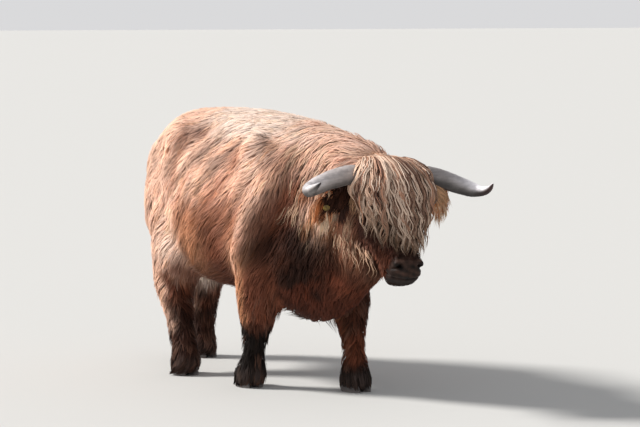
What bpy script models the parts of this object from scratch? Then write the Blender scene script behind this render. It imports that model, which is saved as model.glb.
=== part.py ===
"""Highland cow, standing in mid-stride with its head low: a life-size still model.

Metres, +Z up, the nose towards -Y and the animal's left towards +X. The solids are the outline of
the animal with its coat on. The flesh is lofted whole, fused, and parted by thin cuts. Horns, eyes,
claws, ears, forelock, tail and the ear tag are pieces of their own.
"""

import math

import bmesh
import bpy
import numpy as np
from mathutils import Matrix, Vector

# Driving dimensions
GAP = 0.0004  # free space between two pieces that touch
MERGE = 0.00005  # points nearer than this after a cut are one point
VOXEL = 0.011  # cell of the fused flesh
FLESH_TRIANGLES = 2300
FORWARD = Vector((0, -1, 0))
ACROSS = Vector((1, 0, 0))
UP = Vector((0, 0, 1))

CLAW_LENGTH = 0.128
CLAW_WIDTH = 0.055
CLAW_HEIGHT = 0.080
CLAW_SPACE = 0.006  # between the two claws of a foot
FOOT_TURN = math.radians(6)  # toes point a little outwards

# Head frame: origin under the middle of the poll, turned a little to the animal's right and tilted.
HEAD_AT = Vector((0.019, -1.111, 0.0))
HEAD_YAW = math.radians(-6.0)
HEAD_ROLL = math.radians(2.0)
EYE_RADIUS = 0.0205
EYE_AT = (0.118, 0.068, 0.862)  # across, forward, height in the head frame
TAG_AT = (0.292, 0.006, 0.862)
TAG_SIZE = (0.030, 0.024, 0.0022)

# Centre line of a horn in the head frame, root to tip: across, forward, height, radius
HORN_LINE = ((0.085, 0.004, 1.004, 0.0415),
             (0.174, 0.012, 1.004, 0.0425),
             (0.260, 0.022, 0.988, 0.0415),
             (0.345, 0.036, 0.961, 0.0380),
             (0.400, 0.066, 0.943, 0.0320),
             (0.423, 0.112, 0.943, 0.0240),
             (0.424, 0.156, 0.957, 0.0160),
             (0.417, 0.192, 0.977, 0.0060))

# Centre line of an ear in the head frame, root to tip: across, forward, height, half height, half
# thickness, hang of the fringe below the middle
EAR_LINE = ((0.100, -0.010, 0.958, 0.036, 0.020, 0.000),
            (0.150, -0.016, 0.944, 0.046, 0.022, 0.012),
            (0.200, -0.020, 0.926, 0.054, 0.021, 0.026),
            (0.250, -0.022, 0.906, 0.052, 0.018, 0.028),
            (0.290, -0.022, 0.890, 0.040, 0.014, 0.020),
            (0.322, -0.020, 0.878, 0.016, 0.007, 0.006))

# Joints of each leg from top to ground: (across, along Y, height)
LEG_JOINTS = {
    "leg_fore_right": ((-0.195, -0.47, 0.80), (-0.195, -0.43, 0.60), (-0.185, -0.375, 0.36),
                       (-0.172, -0.300, 0.15), (-0.168, -0.286, 0.0)),
    "leg_fore_left": ((0.195, -0.50, 0.80), (0.195, -0.52, 0.60), (0.180, -0.590, 0.36),
                      (0.165, -0.655, 0.15), (0.160, -0.670, 0.0)),
    "leg_hind_right": ((-0.160, 0.36, 0.85), (-0.190, 0.315, 0.62), (-0.210, 0.330, 0.40),
                       (-0.220, 0.235, 0.15), (-0.220, 0.205, 0.0)),
    "leg_hind_left": ((0.160, 0.42, 0.85), (0.180, 0.52, 0.62), (0.166, 0.665, 0.40),
                      (0.158, 0.685, 0.15), (0.155, 0.680, 0.0)),
}
# Coat outline of a leg: height, half depth along Y, half width across
FORE_OUTLINE = ((0.80, 0.150, 0.105), (0.62, 0.140, 0.110), (0.50, 0.126, 0.108), (0.42, 0.112, 0.102),
                (0.34, 0.105, 0.096), (0.27, 0.100, 0.091), (0.21, 0.082, 0.075), (0.16, 0.068, 0.062),
                (0.10, 0.076, 0.068), (0.055, 0.084, 0.074), (0.030, 0.076, 0.068))
HIND_OUTLINE = ((0.85, 0.200, 0.110), (0.70, 0.188, 0.114), (0.58, 0.168, 0.112), (0.48, 0.134, 0.102),
                (0.38, 0.102, 0.085), (0.28, 0.080, 0.069), (0.17, 0.068, 0.060), (0.10, 0.074, 0.066),
                (0.055, 0.084, 0.074), (0.030, 0.076, 0.068))


def clear_scene():
    for obj in list(bpy.data.objects):
        bpy.data.objects.remove(obj)


def collection(name, hidden=False):
    made = bpy.data.collections.new(name)
    made.hide_render = hidden
    bpy.context.scene.collection.children.link(made)
    return made


def material(name, colour, roughness):
    made = bpy.data.materials.new(name)
    made.use_nodes = True
    shader = made.node_tree.nodes["Principled BSDF"]
    shader.inputs["Base Color"].default_value = (*colour, 1)
    shader.inputs["Roughness"].default_value = roughness
    shader.inputs["Metallic"].default_value = 0.0
    return made


def object_from(name, mesh, group, finish=None):
    obj = bpy.data.objects.new(name, mesh)
    group.objects.link(obj)
    if finish:
        mesh.materials.clear()
        mesh.materials.append(finish)
    return obj


# ---------------------------------------------------------------- lofts


def smooth_rows(rows, between):
    """Catmull-Rom rows through the given rows, with this many steps between each two."""
    keys = np.array(rows, float)
    padded = np.vstack([2 * keys[0] - keys[1], keys, 2 * keys[-1] - keys[-2]])
    made = []
    for i in range(1, len(padded) - 2):
        p0, p1, p2, p3 = padded[i - 1 : i + 3]
        for t in np.arange(between) / between:
            made.append(0.5 * (2 * p1 + (p2 - p0) * t + (2 * p0 - 5 * p1 + 4 * p2 - p3) * t**2
                               + (3 * p1 - p0 - 3 * p2 + p3) * t**3))
    made.append(keys[-1])
    return np.array(made)


def signed_power(value, power):
    return math.copysign(abs(value) ** power, value)


def ring(top, bottom, across, half_width, squareness=2.2, lean=0.0, count=28):
    """A closed outline through top and bottom. lean above 0 makes it wider towards the top."""
    centre = (top + bottom) / 2
    half = (top - bottom) / 2
    power = 2 / squareness
    points = []
    for i in range(count):
        angle = 2 * math.pi * i / count
        x = signed_power(math.cos(angle), power) * half_width
        y = signed_power(math.sin(angle), power)
        points.append(centre + across * (x * (1 + lean * y)) + half * y)
    return points


def skin_over(rings):
    """A bmesh over rings of equal point count, closed at both ends."""
    shape = bmesh.new()
    rows = [[shape.verts.new(p) for p in points] for points in rings]
    count = len(rows[0])
    for low, high in zip(rows, rows[1:]):
        for i in range(count):
            j = (i + 1) % count
            shape.faces.new((low[i], low[j], high[j], high[i]))
    shape.faces.new(rows[0][::-1])
    shape.faces.new(rows[-1])
    bmesh.ops.recalc_face_normals(shape, faces=shape.faces)
    return shape


def object_of(shape, name, group, finish=None):
    """An object from a bmesh, in triangles so that a copy cut from a neighbour has the same folds."""
    bmesh.ops.triangulate(shape, faces=shape.faces, quad_method="FIXED")
    mesh = bpy.data.meshes.new(name)
    shape.to_mesh(mesh)
    shape.free()
    return object_from(name, mesh, group, finish)


def loft(name, rings, group, finish=None):
    return object_of(skin_over(rings), name, group, finish)


def tube(name, line, group, finish=None, count=14, tip=0.6):
    """A round tapered solid along (x, y, z, radius) rows, with a domed last end."""
    rows = [(Vector(row[:3]), row[3]) for row in line]
    rings = []
    side = None
    for i, (point, radius) in enumerate(rows):
        ahead = rows[min(i + 1, len(rows) - 1)][0] - rows[max(i - 1, 0)][0]
        ahead.normalize()
        if side is None:
            side = ahead.orthogonal()
        side = (side - ahead * side.dot(ahead)).normalized()
        other = ahead.cross(side)
        angles = [2 * math.pi * k / count for k in range(count)]
        rings.append([point + (side * math.cos(a) + other * math.sin(a)) * radius for a in angles])
    last, radius = rows[-1]
    rings.append([last + (p - last) * 0.5 + ahead * radius * tip for p in rings[-1]])
    return loft(name, rings, group, finish)


def ellipsoid(name, centre, radii, group, finish=None, detail=20):
    shape = bmesh.new()
    bmesh.ops.create_uvsphere(shape, u_segments=detail, v_segments=detail // 2 + 2, radius=1)
    bmesh.ops.scale(shape, vec=radii, verts=shape.verts)
    bmesh.ops.translate(shape, vec=centre, verts=shape.verts)
    return object_of(shape, name, group, finish)


# ---------------------------------------------------------------- head frame


def head_axes():
    turn = Matrix.Rotation(HEAD_YAW, 3, "Z")
    forward = turn @ FORWARD
    across = Matrix.Rotation(-HEAD_ROLL, 3, forward) @ (turn @ ACROSS)
    return across, forward


def head_point(across_by, forward_by, height):
    across, forward = head_axes()
    return HEAD_AT + across * across_by + forward * forward_by + UP * height


# ---------------------------------------------------------------- flesh


def trunk_form(group):
    """Rump to chest. Each row: along Y, back height, belly height, half width, lean."""
    rows = ((0.755, 0.980, 0.82, 0.030, -0.10),
            (0.735, 1.040, 0.70, 0.086, -0.16),
            (0.690, 1.105, 0.60, 0.152, -0.18),
            (0.600, 1.175, 0.55, 0.214, -0.18),
            (0.500, 1.218, 0.51, 0.266, -0.16),
            (0.390, 1.240, 0.48, 0.296, -0.12),
            (0.250, 1.248, 0.45, 0.300, -0.06),
            (0.050, 1.252, 0.43, 0.335, -0.10),
            (-0.150, 1.250, 0.42, 0.340, -0.10),
            (-0.330, 1.240, 0.40, 0.315, -0.06),
            (-0.480, 1.224, 0.36, 0.285, -0.02),
            (-0.620, 1.195, 0.34, 0.245, 0.00),
            (-0.740, 1.120, 0.42, 0.190, 0.00),
            (-0.820, 1.000, 0.56, 0.110, 0.00))
    rings = [ring(Vector((0, y, top)), Vector((0, y, low)), ACROSS, width, 2.35, lean)
             for y, top, low, width, lean in smooth_rows(rows, 3)]
    return loft("trunk_form", rings, group)


def neck_form(group):
    """Withers to poll, deep through the dewlap. Each row: crest (Y, Z), throat (Y, Z), half width, lean."""
    rows = ((-0.200, 1.238, -0.340, 0.46, 0.270, 0.00),
            (-0.420, 1.230, -0.500, 0.34, 0.268, 0.00),
            (-0.600, 1.214, -0.640, 0.32, 0.240, 0.05),
            (-0.760, 1.192, -0.770, 0.36, 0.212, 0.12),
            (-0.900, 1.160, -0.890, 0.45, 0.190, 0.18),
            (-1.010, 1.122, -0.985, 0.52, 0.165, 0.22),
            (-1.080, 1.085, -1.055, 0.58, 0.130, 0.22))
    across, _ = head_axes()
    rings = []
    for crest_y, crest_z, throat_y, throat_z, width, lean in smooth_rows(rows, 3):
        turned = max(0.0, min(1.0, (-crest_y - 0.6) / 0.45))
        offset = Vector((HEAD_AT.x * turned, 0, 0))
        rings.append(ring(Vector((0, crest_y, crest_z)) + offset, Vector((0, throat_y, throat_z)) + offset,
                          ACROSS.lerp(across, turned), width, 2.1, lean))
    return loft("neck_form", rings, group)


def head_form(group):
    """Poll to lips. Each row: brow point and jaw point (forward, height), half width, lean."""
    across, _ = head_axes()
    rows = ((0.000, 1.050, -0.120, 1.000, 0.085, 0.10),
            (0.060, 1.030, -0.130, 0.930, 0.128, 0.12),
            (0.108, 0.980, -0.125, 0.830, 0.136, 0.14),
            (0.135, 0.915, -0.095, 0.750, 0.128, 0.14),
            (0.152, 0.850, -0.045, 0.690, 0.112, 0.10),
            (0.172, 0.780, 0.010, 0.640, 0.096, 0.04),
            (0.192, 0.710, 0.050, 0.595, 0.080, 0.00),
            (0.210, 0.655, 0.076, 0.560, 0.077, 0.00),
            (0.214, 0.615, 0.092, 0.542, 0.078, 0.00),
            (0.198, 0.580, 0.104, 0.534, 0.066, 0.00),
            (0.172, 0.556, 0.120, 0.534, 0.040, 0.00))
    rings = [ring(head_point(0, brow, brow_z), head_point(0, jaw, jaw_z), across, width, 2.5, lean, 24)
             for brow, brow_z, jaw, jaw_z, width, lean in smooth_rows(rows, 3)]
    return loft("head_form", rings, group)


def leg_line(joints):
    """Function of height that gives the leg's middle, on a smooth line through its joints."""
    path = smooth_rows(joints, 8)[::-1]

    def middle(height):
        return Vector((float(np.interp(height, path[:, 2], path[:, 0])),
                       float(np.interp(height, path[:, 2], path[:, 1])), height))

    return middle


def leg_rings(name, more=0.0, top=9.0, count=20, between=3):
    """Outlines of a leg, larger by more, up to the height top, and past the ground if larger."""
    outline = FORE_OUTLINE if "fore" in name else HIND_OUTLINE
    middle = leg_line(LEG_JOINTS[name])
    rings = []
    for height, depth, width in smooth_rows(outline, between):
        if height < top:
            along = FORWARD * (depth + more)
            centre = middle(height)
            rings.append(ring(centre + along, centre - along, ACROSS, width + more, 2.1, 0, count))
    if more:
        rings.append([point - UP * 0.06 for point in rings[-1]])
    return rings


def muscle_forms(group):
    """Rounded masses that lift the outline: hips, pins, thighs, shoulders, brow, cheeks and muzzle."""
    masses = [((0, -0.59, 0.43), (0.115, 0.16, 0.120)),
              (head_point(0, 0.0, 1.030), (0.10, 0.075, 0.040)),
              (head_point(0, 0.118, 0.570), (0.050, 0.052, 0.036))]
    for side in (-1, 1):
        masses.append(((side * 0.185, 0.27, 1.085), (0.095, 0.150, 0.095)))
        masses.append(((side * 0.090, 0.610, 0.950), (0.095, 0.110, 0.150)))
        masses.append(((side * 0.155, 0.40, 0.800), (0.125, 0.19, 0.30)))
        masses.append(((side * 0.215, -0.44, 0.870), (0.105, 0.17, 0.30)))
        masses.append((head_point(side * 0.085, 0.085, 0.900), (0.045, 0.045, 0.035)))
        masses.append((head_point(side * 0.070, -0.010, 0.770), (0.045, 0.085, 0.085)))
        masses.append((head_point(side * 0.046, 0.198, 0.632), (0.036, 0.034, 0.032)))
    return [ellipsoid("mass", centre, radii, group) for centre, radii in masses]


def evaluated_mesh(obj):
    graph = bpy.context.evaluated_depsgraph_get()
    return bpy.data.meshes.new_from_object(obj.evaluated_get(graph))


def fused_flesh(helpers):
    """All the flesh as one smooth mesh of about FLESH_TRIANGLES triangles."""
    forms = [trunk_form(helpers), neck_form(helpers), head_form(helpers), *muscle_forms(helpers)]
    forms += [loft("leg_form", leg_rings(name), helpers) for name in LEG_JOINTS]
    whole = bmesh.new()
    for form in forms:
        whole.from_mesh(form.data)
    flesh = object_of(whole, "flesh", helpers)
    remesh = flesh.modifiers.new("fuse", "REMESH")
    remesh.mode = "VOXEL"
    remesh.voxel_size = VOXEL
    smooth = flesh.modifiers.new("soften", "SMOOTH")
    smooth.factor = 0.5
    smooth.iterations = 16
    fused = evaluated_mesh(flesh)
    flesh.modifiers.clear()
    flesh.data = fused
    thin = flesh.modifiers.new("thin", "DECIMATE")
    thin.ratio = FLESH_TRIANGLES / (2 * len(fused.polygons))
    thin.use_collapse_triangulate = True
    flesh.data = evaluated_mesh(flesh)
    flesh.modifiers.clear()
    for form in forms:
        bpy.data.objects.remove(form)
    return flesh


# ---------------------------------------------------------------- cuts


def slab(name, at, turn, size, helpers, more=0.0):
    """A block whose -Z face passes through a point; more moves that face outwards."""
    shape = bmesh.new()
    bmesh.ops.create_cube(shape, size=1)
    bmesh.ops.scale(shape, vec=(size, size, size), verts=shape.verts)
    bmesh.ops.translate(shape, vec=(0, 0, size / 2 - more), verts=shape.verts)
    bmesh.ops.rotate(shape, cent=(0, 0, 0), matrix=turn, verts=shape.verts)
    bmesh.ops.translate(shape, vec=at, verts=shape.verts)
    return object_of(shape, name, helpers)


def swollen(obj, by, group):
    """A copy of a mesh, larger by a small amount all round, to cut its neighbours with."""
    shape = bmesh.new()
    shape.from_mesh(obj.data)
    shape.normal_update()
    moves = [(vert, vert.normal * by) for vert in shape.verts]
    for vert, move in moves:
        vert.co += move
    return object_of(shape, obj.name + "_room", group)


def cut(obj, others, operation="DIFFERENCE", folded=False):
    """Boolean with each of the others in turn, applied at once. A folded cutter may touch itself."""
    for other in others:
        step = obj.modifiers.new(operation.lower(), "BOOLEAN")
        step.operation = operation
        step.object = other
        step.solver = "EXACT"
        step.use_self = folded
    obj.data = evaluated_mesh(obj)
    obj.modifiers.clear()
    keep_largest(obj)


def keep_largest(obj):
    """Drop slivers that a cut left loose beside the main body of a piece."""
    shape = bmesh.new()
    shape.from_mesh(obj.data)
    islands = []
    seen = set()
    for start in shape.verts:
        if start in seen:
            continue
        island = {start}
        front = [start]
        while front:
            for edge in front.pop().link_edges:
                for vert in edge.verts:
                    if vert not in island:
                        island.add(vert)
                        front.append(vert)
        seen |= island
        islands.append(island)
    islands.sort(key=len)
    for island in islands[:-1]:
        bmesh.ops.delete(shape, geom=list(island), context="VERTS")
    bmesh.ops.remove_doubles(shape, verts=shape.verts, dist=MERGE)
    bmesh.ops.dissolve_degenerate(shape, dist=MERGE, edges=shape.edges)
    bmesh.ops.triangulate(shape, faces=shape.faces)
    shape.to_mesh(obj.data)
    shape.free()


def main():
    clear_scene()
    cow = collection("highland_cow")
    helpers = collection("helpers", hidden=True)
    coat = material("coat", (0.30, 0.11, 0.05), 0.85)
    dark = material("dark_coat", (0.05, 0.02, 0.012), 0.85)
    lock = material("pale_locks", (0.42, 0.25, 0.13), 0.8)
    nose = material("muzzle_skin", (0.035, 0.02, 0.018), 0.5)
    horn = material("horn", (0.22, 0.19, 0.17), 0.45)
    hoof = material("hoof_horn", (0.10, 0.09, 0.085), 0.6)
    eye = material("eye", (0.015, 0.008, 0.006), 0.1)
    tag = material("tag_plastic", (0.65, 0.45, 0.05), 0.5)

    flesh = fused_flesh(helpers)
    make_body(flesh, cow, helpers, coat, dark, nose)
    make_horns(cow, horn)
    make_eyes(cow, eye)
    make_ears(cow, coat, tag)
    make_forelock(cow, lock)
    make_claws(cow, hoof)
    make_tail(cow, coat, lock)
    seat_pieces(flesh, cow, helpers)
    bpy.data.objects.remove(flesh)
    for piece in list(helpers.objects):
        bpy.data.objects.remove(piece)
    bpy.data.collections.remove(helpers)
    centre_on_floor(cow)


def raise_top(room):
    """Lift the flat top of a leg's room by the gap, and widen it so that its walls stay clear."""
    highest = max(vert.co.z for vert in room.data.vertices)
    top = [vert for vert in room.data.vertices if vert.co.z > highest - GAP]
    middle = sum((vert.co for vert in top), Vector()) / len(top)
    for vert in top:
        vert.co += (vert.co - middle).normalized() * 2 * GAP + UP * GAP


def make_body(flesh, cow, helpers, coat, dark, nose):
    """Part the fused flesh into neck, head, muzzle, four legs and the trunk."""
    _, forward = head_axes()
    yaw = Matrix.Rotation(HEAD_YAW, 3, "Z")
    # each slab keeps what is ahead of it: +Z of the slab is turned to face forward and down
    neck_turn = Matrix.Rotation(math.radians(90 - 13), 3, "X")
    head_turn = yaw @ Matrix.Rotation(math.radians(90 + 7), 3, "X")
    nose_turn = yaw @ Matrix.Rotation(math.radians(180 - 42), 3, "X")
    places = {"neck": (Vector((0, -0.66, 0.80)), neck_turn),
              "head": (head_point(0, -0.055, 0.80), head_turn),
              "muzzle": (head_point(0, 0.135, 0.650), nose_turn)}
    slabs = {name: slab(name + "_cutter", at, turn, 2.4, helpers) for name, (at, turn) in places.items()}
    rooms = {name: slab(name + "_gap", at, turn, 2.4, helpers, GAP) for name, (at, turn) in places.items()}
    legs = {}
    for name in LEG_JOINTS:
        top = 0.60 if "fore" in name else 0.62
        legs[name] = loft(name + "_cutter", leg_rings(name, 0.020, top, 12, 1), helpers)
        rooms[name] = loft(name + "_gap", leg_rings(name, 0.020 + GAP, top, 12, 1), helpers)
        raise_top(rooms[name])
    for name, cutter in legs.items():
        piece = object_from(name, flesh.data.copy(), cow, dark)
        cut(piece, [cutter], "INTERSECT")
    others = [rooms[name] for name in legs]
    trunk = object_from("trunk", flesh.data.copy(), cow, coat)
    cut(trunk, [rooms["neck"], *others])
    neck = object_from("neck", flesh.data.copy(), cow, coat)
    cut(neck, [slabs["neck"]], "INTERSECT")
    cut(neck, [rooms["head"], *others])
    head = object_from("head", flesh.data.copy(), cow, coat)
    cut(head, [slabs["head"]], "INTERSECT")
    cut(head, [rooms["muzzle"]])
    muzzle = object_from("muzzle", flesh.data.copy(), cow, nose)
    cut(muzzle, [slabs["head"], slabs["muzzle"]], "INTERSECT")


def make_horns(cow, finish):
    for side, name in ((-1, "horn_right"), (1, "horn_left")):
        rows = []
        for across_by, forward_by, height, radius in smooth_rows(HORN_LINE, 2):
            rows.append((*head_point(side * across_by, forward_by, height), radius))
        tube(name, rows, cow, finish, 11)


def make_eyes(cow, finish):
    for side, name in ((-1, "eye_right"), (1, "eye_left")):
        at = head_point(side * EYE_AT[0], EYE_AT[1], EYE_AT[2])
        ellipsoid(name, at, (EYE_RADIUS,) * 3, cow, finish, 12)


def make_ears(cow, coat, yellow):
    """Leaf-shaped drooping ears, hollow in front, with a fringe below; one carries a blank tag."""
    _, forward = head_axes()
    for side, name in ((-1, "ear_right"), (1, "ear_left")):
        rings = []
        for over, ahead, height, half, thick, hang in smooth_rows(EAR_LINE, 2):
            middle = head_point(side * over, ahead, height)
            points = []
            for k in range(12):
                angle = 2 * math.pi * k / 12
                up_by = math.sin(angle)
                drop = hang * (1 - up_by) / 2 * 1.6
                cup = 0.55 * thick * (1 - up_by * up_by) if math.cos(angle) > 0 else 0.0
                out = thick * math.cos(angle) - cup
                points.append(middle + UP * (half * up_by - drop) + forward * out)
            rings.append(points)
        loft(name, rings, cow, coat)
    make_tag(cow, yellow)


def make_tag(cow, yellow):
    """A small blank plate on a stud that passes through the right ear, with a button behind."""
    at = head_point(-TAG_AT[0], TAG_AT[1], TAG_AT[2])
    turn = Matrix.Rotation(HEAD_YAW, 3, "Z") @ Matrix.Rotation(math.radians(90), 3, "X")
    wide, high, thick = TAG_SIZE
    profile = ((-0.046, 0.0), (-0.046, 0.009), (-0.044, 0.009), (-0.043, 0.003), (0.0, 0.003))
    shape = bmesh.new()
    points = [shape.verts.new((radius, 0, along)) for along, radius in profile]
    edges = [shape.edges.new(pair) for pair in zip(points, points[1:])]
    bmesh.ops.spin(shape, geom=points + edges, cent=(0, 0, 0), axis=(0, 0, 1), angle=2 * math.pi, steps=10,
                   use_merge=True)
    bmesh.ops.remove_doubles(shape, verts=shape.verts, dist=1e-5)
    bmesh.ops.holes_fill(shape, edges=[edge for edge in shape.edges if edge.is_boundary])
    bmesh.ops.recalc_face_normals(shape, faces=shape.faces)
    stud = object_of(shape, "ear_tag", cow, yellow)
    plate = bmesh.new()
    bmesh.ops.create_cube(plate, size=1)
    bmesh.ops.scale(plate, vec=(wide, high, thick), verts=plate.verts)
    bmesh.ops.translate(plate, vec=(0, 0, thick / 2 - 0.0003), verts=plate.verts)
    corners = [edge for edge in plate.edges if abs(edge.verts[0].co.z - edge.verts[1].co.z) > thick / 2]
    bmesh.ops.bevel(plate, geom=corners, offset=0.006, segments=3, affect="EDGES")
    cover = object_of(plate, "plate", cow)
    cut(stud, [cover], "UNION")
    bpy.data.objects.remove(cover)
    stud.data.transform(Matrix.Translation(at) @ turn.to_4x4())


def make_forelock(cow, finish):
    """The curtain of locks that hangs from the poll over the brow and eyes."""
    rows = ((1.086, 0.008, 0.064, 0.034), (1.070, 0.020, 0.134, 0.080), (1.030, 0.040, 0.176, 0.110),
            (0.970, 0.066, 0.196, 0.130), (0.900, 0.088, 0.192, 0.130), (0.820, 0.116, 0.166, 0.116),
            (0.755, 0.144, 0.130, 0.096), (0.705, 0.168, 0.092, 0.070), (0.668, 0.184, 0.048, 0.042))
    count = 26
    rings = []
    for height, ahead, width, depth in rows:
        points = []
        for k in range(count):
            angle = 2 * math.pi * k / count
            flute = 1 + 0.045 * math.sin(angle * 7 + height * 14)
            over = width * flute * math.cos(angle)
            points.append(head_point(over, ahead + depth * flute * math.sin(angle), height))
        rings.append(points)
    loft("forelock", rings, cow, finish)


def make_claws(cow, finish):
    """Two claws a foot, flat below, with a straight sloping front wall and a blunt toe."""
    for leg, joints in LEG_JOINTS.items():
        foot = leg_line(joints)(0.0)
        outer = -1 if "right" in leg else 1
        turn = Matrix.Rotation(outer * FOOT_TURN, 3, "Z")
        rows = ((0.0, 1.0, 1.0, 0.0), (0.012, 1.0, 1.02, 0.002), (0.040, 0.88, 0.98, 0.010),
                (CLAW_HEIGHT, 0.66, 0.84, 0.024))
        for side, place in ((outer, "outer"), (-outer, "inner")):
            rings = []
            for height, length, width, back in rows:
                points = []
                for k in range(12):
                    angle = 2 * math.pi * k / 12
                    along = math.sin(angle)
                    half = CLAW_WIDTH / 2 * width
                    # straight on the side that faces the other claw, and narrower at the toe
                    wide = math.cos(angle) * half * (1 - 0.22 * max(0.0, along) ** 2)
                    if wide * side < 0:
                        wide *= 0.86
                    at = Vector((side * (CLAW_WIDTH + CLAW_SPACE) / 2 + wide, 0, height))
                    at.y = -(along * CLAW_LENGTH / 2 * length) + back
                    points.append(Vector((foot.x, foot.y, 0)) + turn @ at)
                rings.append(points)
            loft(leg.replace("leg", "claw") + "_" + place, rings, cow, finish)


def make_tail(cow, coat, lock):
    """The tail hangs close behind the rump and ends in a full switch."""
    line = ((0.000, 0.600, 1.130, 0.040), (0.000, 0.690, 1.105, 0.040), (0.000, 0.742, 1.040, 0.036),
            (0.000, 0.766, 0.930, 0.032), (0.000, 0.766, 0.800, 0.030), (0.000, 0.760, 0.700, 0.032))
    switch = ((0.000, 0.760, 0.700 - 3 * GAP, 0.032), (0.000, 0.757, 0.640, 0.043),
              (0.000, 0.752, 0.540, 0.052), (0.000, 0.748, 0.430, 0.052),
              (0.000, 0.746, 0.340, 0.042), (0.000, 0.746, 0.270, 0.022))
    tube("tail", smooth_rows(line, 2), cow, coat, 10, 0.0)
    tube("tail_switch", smooth_rows(switch, 2), cow, lock, 10, 0.5)


def seat_pieces(flesh, cow, helpers):
    """Cut room in each piece for those that sit in it or against it."""
    find = cow.objects
    rooms = {}

    def room(name):
        if name not in rooms:
            rooms[name] = swollen(find[name], GAP, helpers)
        return rooms[name]

    horns_eyes = [room(name) for name in ("horn_left", "horn_right", "eye_left", "eye_right")]
    cut(find["ear_right"], [room("ear_tag")])
    cut(find["head"], horns_eyes)
    cut(find["neck"], horns_eyes[:2])
    flesh_room = swollen(flesh, GAP, helpers)
    for name in ("ear_left", "ear_right"):
        cut(find[name], [flesh_room], folded=True)
        cut(find[name], horns_eyes[:2])
    cut(find["forelock"], [flesh_room], folded=True)
    cut(find["forelock"], [room("ear_left"), room("ear_right"), *horns_eyes])
    cut(find["tail"], [flesh_room], folded=True)
    cut(find["tail_switch"], [flesh_room], folded=True)
    for leg in LEG_JOINTS:
        claws = [room(leg.replace("leg", "claw") + place) for place in ("_outer", "_inner")]
        cut(find[leg], claws)


def centre_on_floor(cow):
    """Move everything so that the middle of the base of the bounding box is the origin."""
    points = [obj.matrix_world @ Vector(corner) for obj in cow.objects for corner in obj.bound_box]
    low = Vector([min(p[i] for p in points) for i in range(3)])
    high = Vector([max(p[i] for p in points) for i in range(3)])
    shift = Vector((-(low.x + high.x) / 2, -(low.y + high.y) / 2, -low.z))
    for obj in cow.objects:
        obj.data.transform(Matrix.Translation(shift))


main()
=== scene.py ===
"""Looks of the highland cow: one skin over all the flesh, a coat of solid locks that follows it, smooth
horns, hooves and eyes, and a pale studio. Metres, in the row frame, the nose towards -Y.

The forms repeat the lofts of the CAD solids. The skin lies inside them by the depth of the coat, and
the locks stand from the skin out to the solids' outline.
"""

import math

import bmesh
import bpy
import numpy as np
from mathutils import Matrix, Vector
from mathutils.bvhtree import BVHTree
from mathutils.kdtree import KDTree

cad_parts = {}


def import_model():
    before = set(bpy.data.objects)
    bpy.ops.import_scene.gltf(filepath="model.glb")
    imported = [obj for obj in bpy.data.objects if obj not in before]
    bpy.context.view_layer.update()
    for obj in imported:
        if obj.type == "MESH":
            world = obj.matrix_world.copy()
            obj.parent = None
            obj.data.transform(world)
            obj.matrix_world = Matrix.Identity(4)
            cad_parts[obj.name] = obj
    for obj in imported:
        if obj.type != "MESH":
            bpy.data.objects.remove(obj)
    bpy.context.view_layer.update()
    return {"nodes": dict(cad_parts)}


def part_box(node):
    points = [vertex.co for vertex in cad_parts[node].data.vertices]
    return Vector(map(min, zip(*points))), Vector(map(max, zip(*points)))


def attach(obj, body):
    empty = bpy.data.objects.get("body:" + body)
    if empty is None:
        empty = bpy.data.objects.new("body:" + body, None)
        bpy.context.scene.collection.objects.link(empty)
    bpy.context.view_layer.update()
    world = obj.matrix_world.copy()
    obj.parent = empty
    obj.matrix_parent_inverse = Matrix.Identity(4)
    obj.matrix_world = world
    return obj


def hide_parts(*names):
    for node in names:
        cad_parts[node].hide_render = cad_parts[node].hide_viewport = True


SEED = 11
SKIN_VOXEL = 0.008
LOCK_SHARE = 1.0  # share of the locks that is made
FLOOR_SIZE = 400.0

UP = np.array((0.0, 0.0, 1.0))
DOWN = -UP
CAMERA_AT = (-6.049, -9.933, 1.70)  # before the shift to the row frame
CAMERA_TURN = -33.0
CAMERA_TILT = 4.608
CAMERA_LENS = 140.6

# Head frame, as in the solids
HEAD_AT = np.array((0.019, -1.111, 0.0))
HEAD_YAW = math.radians(-6.0)
HEAD_ROLL = math.radians(2.0)
EYE_AT = (0.118, 0.068, 0.862)
EYE_RADIUS = 0.0205
HORN_LINE = ((0.085, 0.004, 1.004, 0.0415),
             (0.174, 0.012, 1.004, 0.0425),
             (0.260, 0.022, 0.988, 0.0415),
             (0.345, 0.036, 0.961, 0.0380),
             (0.400, 0.066, 0.943, 0.0320),
             (0.423, 0.112, 0.943, 0.0240),
             (0.424, 0.156, 0.957, 0.0160),
             (0.417, 0.192, 0.977, 0.0060))
EAR_LINE = ((0.100, -0.010, 0.958, 0.036, 0.020, 0.000),
            (0.150, -0.016, 0.944, 0.046, 0.022, 0.012),
            (0.200, -0.020, 0.926, 0.054, 0.021, 0.026),
            (0.250, -0.022, 0.906, 0.052, 0.018, 0.028),
            (0.290, -0.022, 0.890, 0.040, 0.014, 0.020),
            (0.322, -0.020, 0.878, 0.016, 0.007, 0.006))
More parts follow.
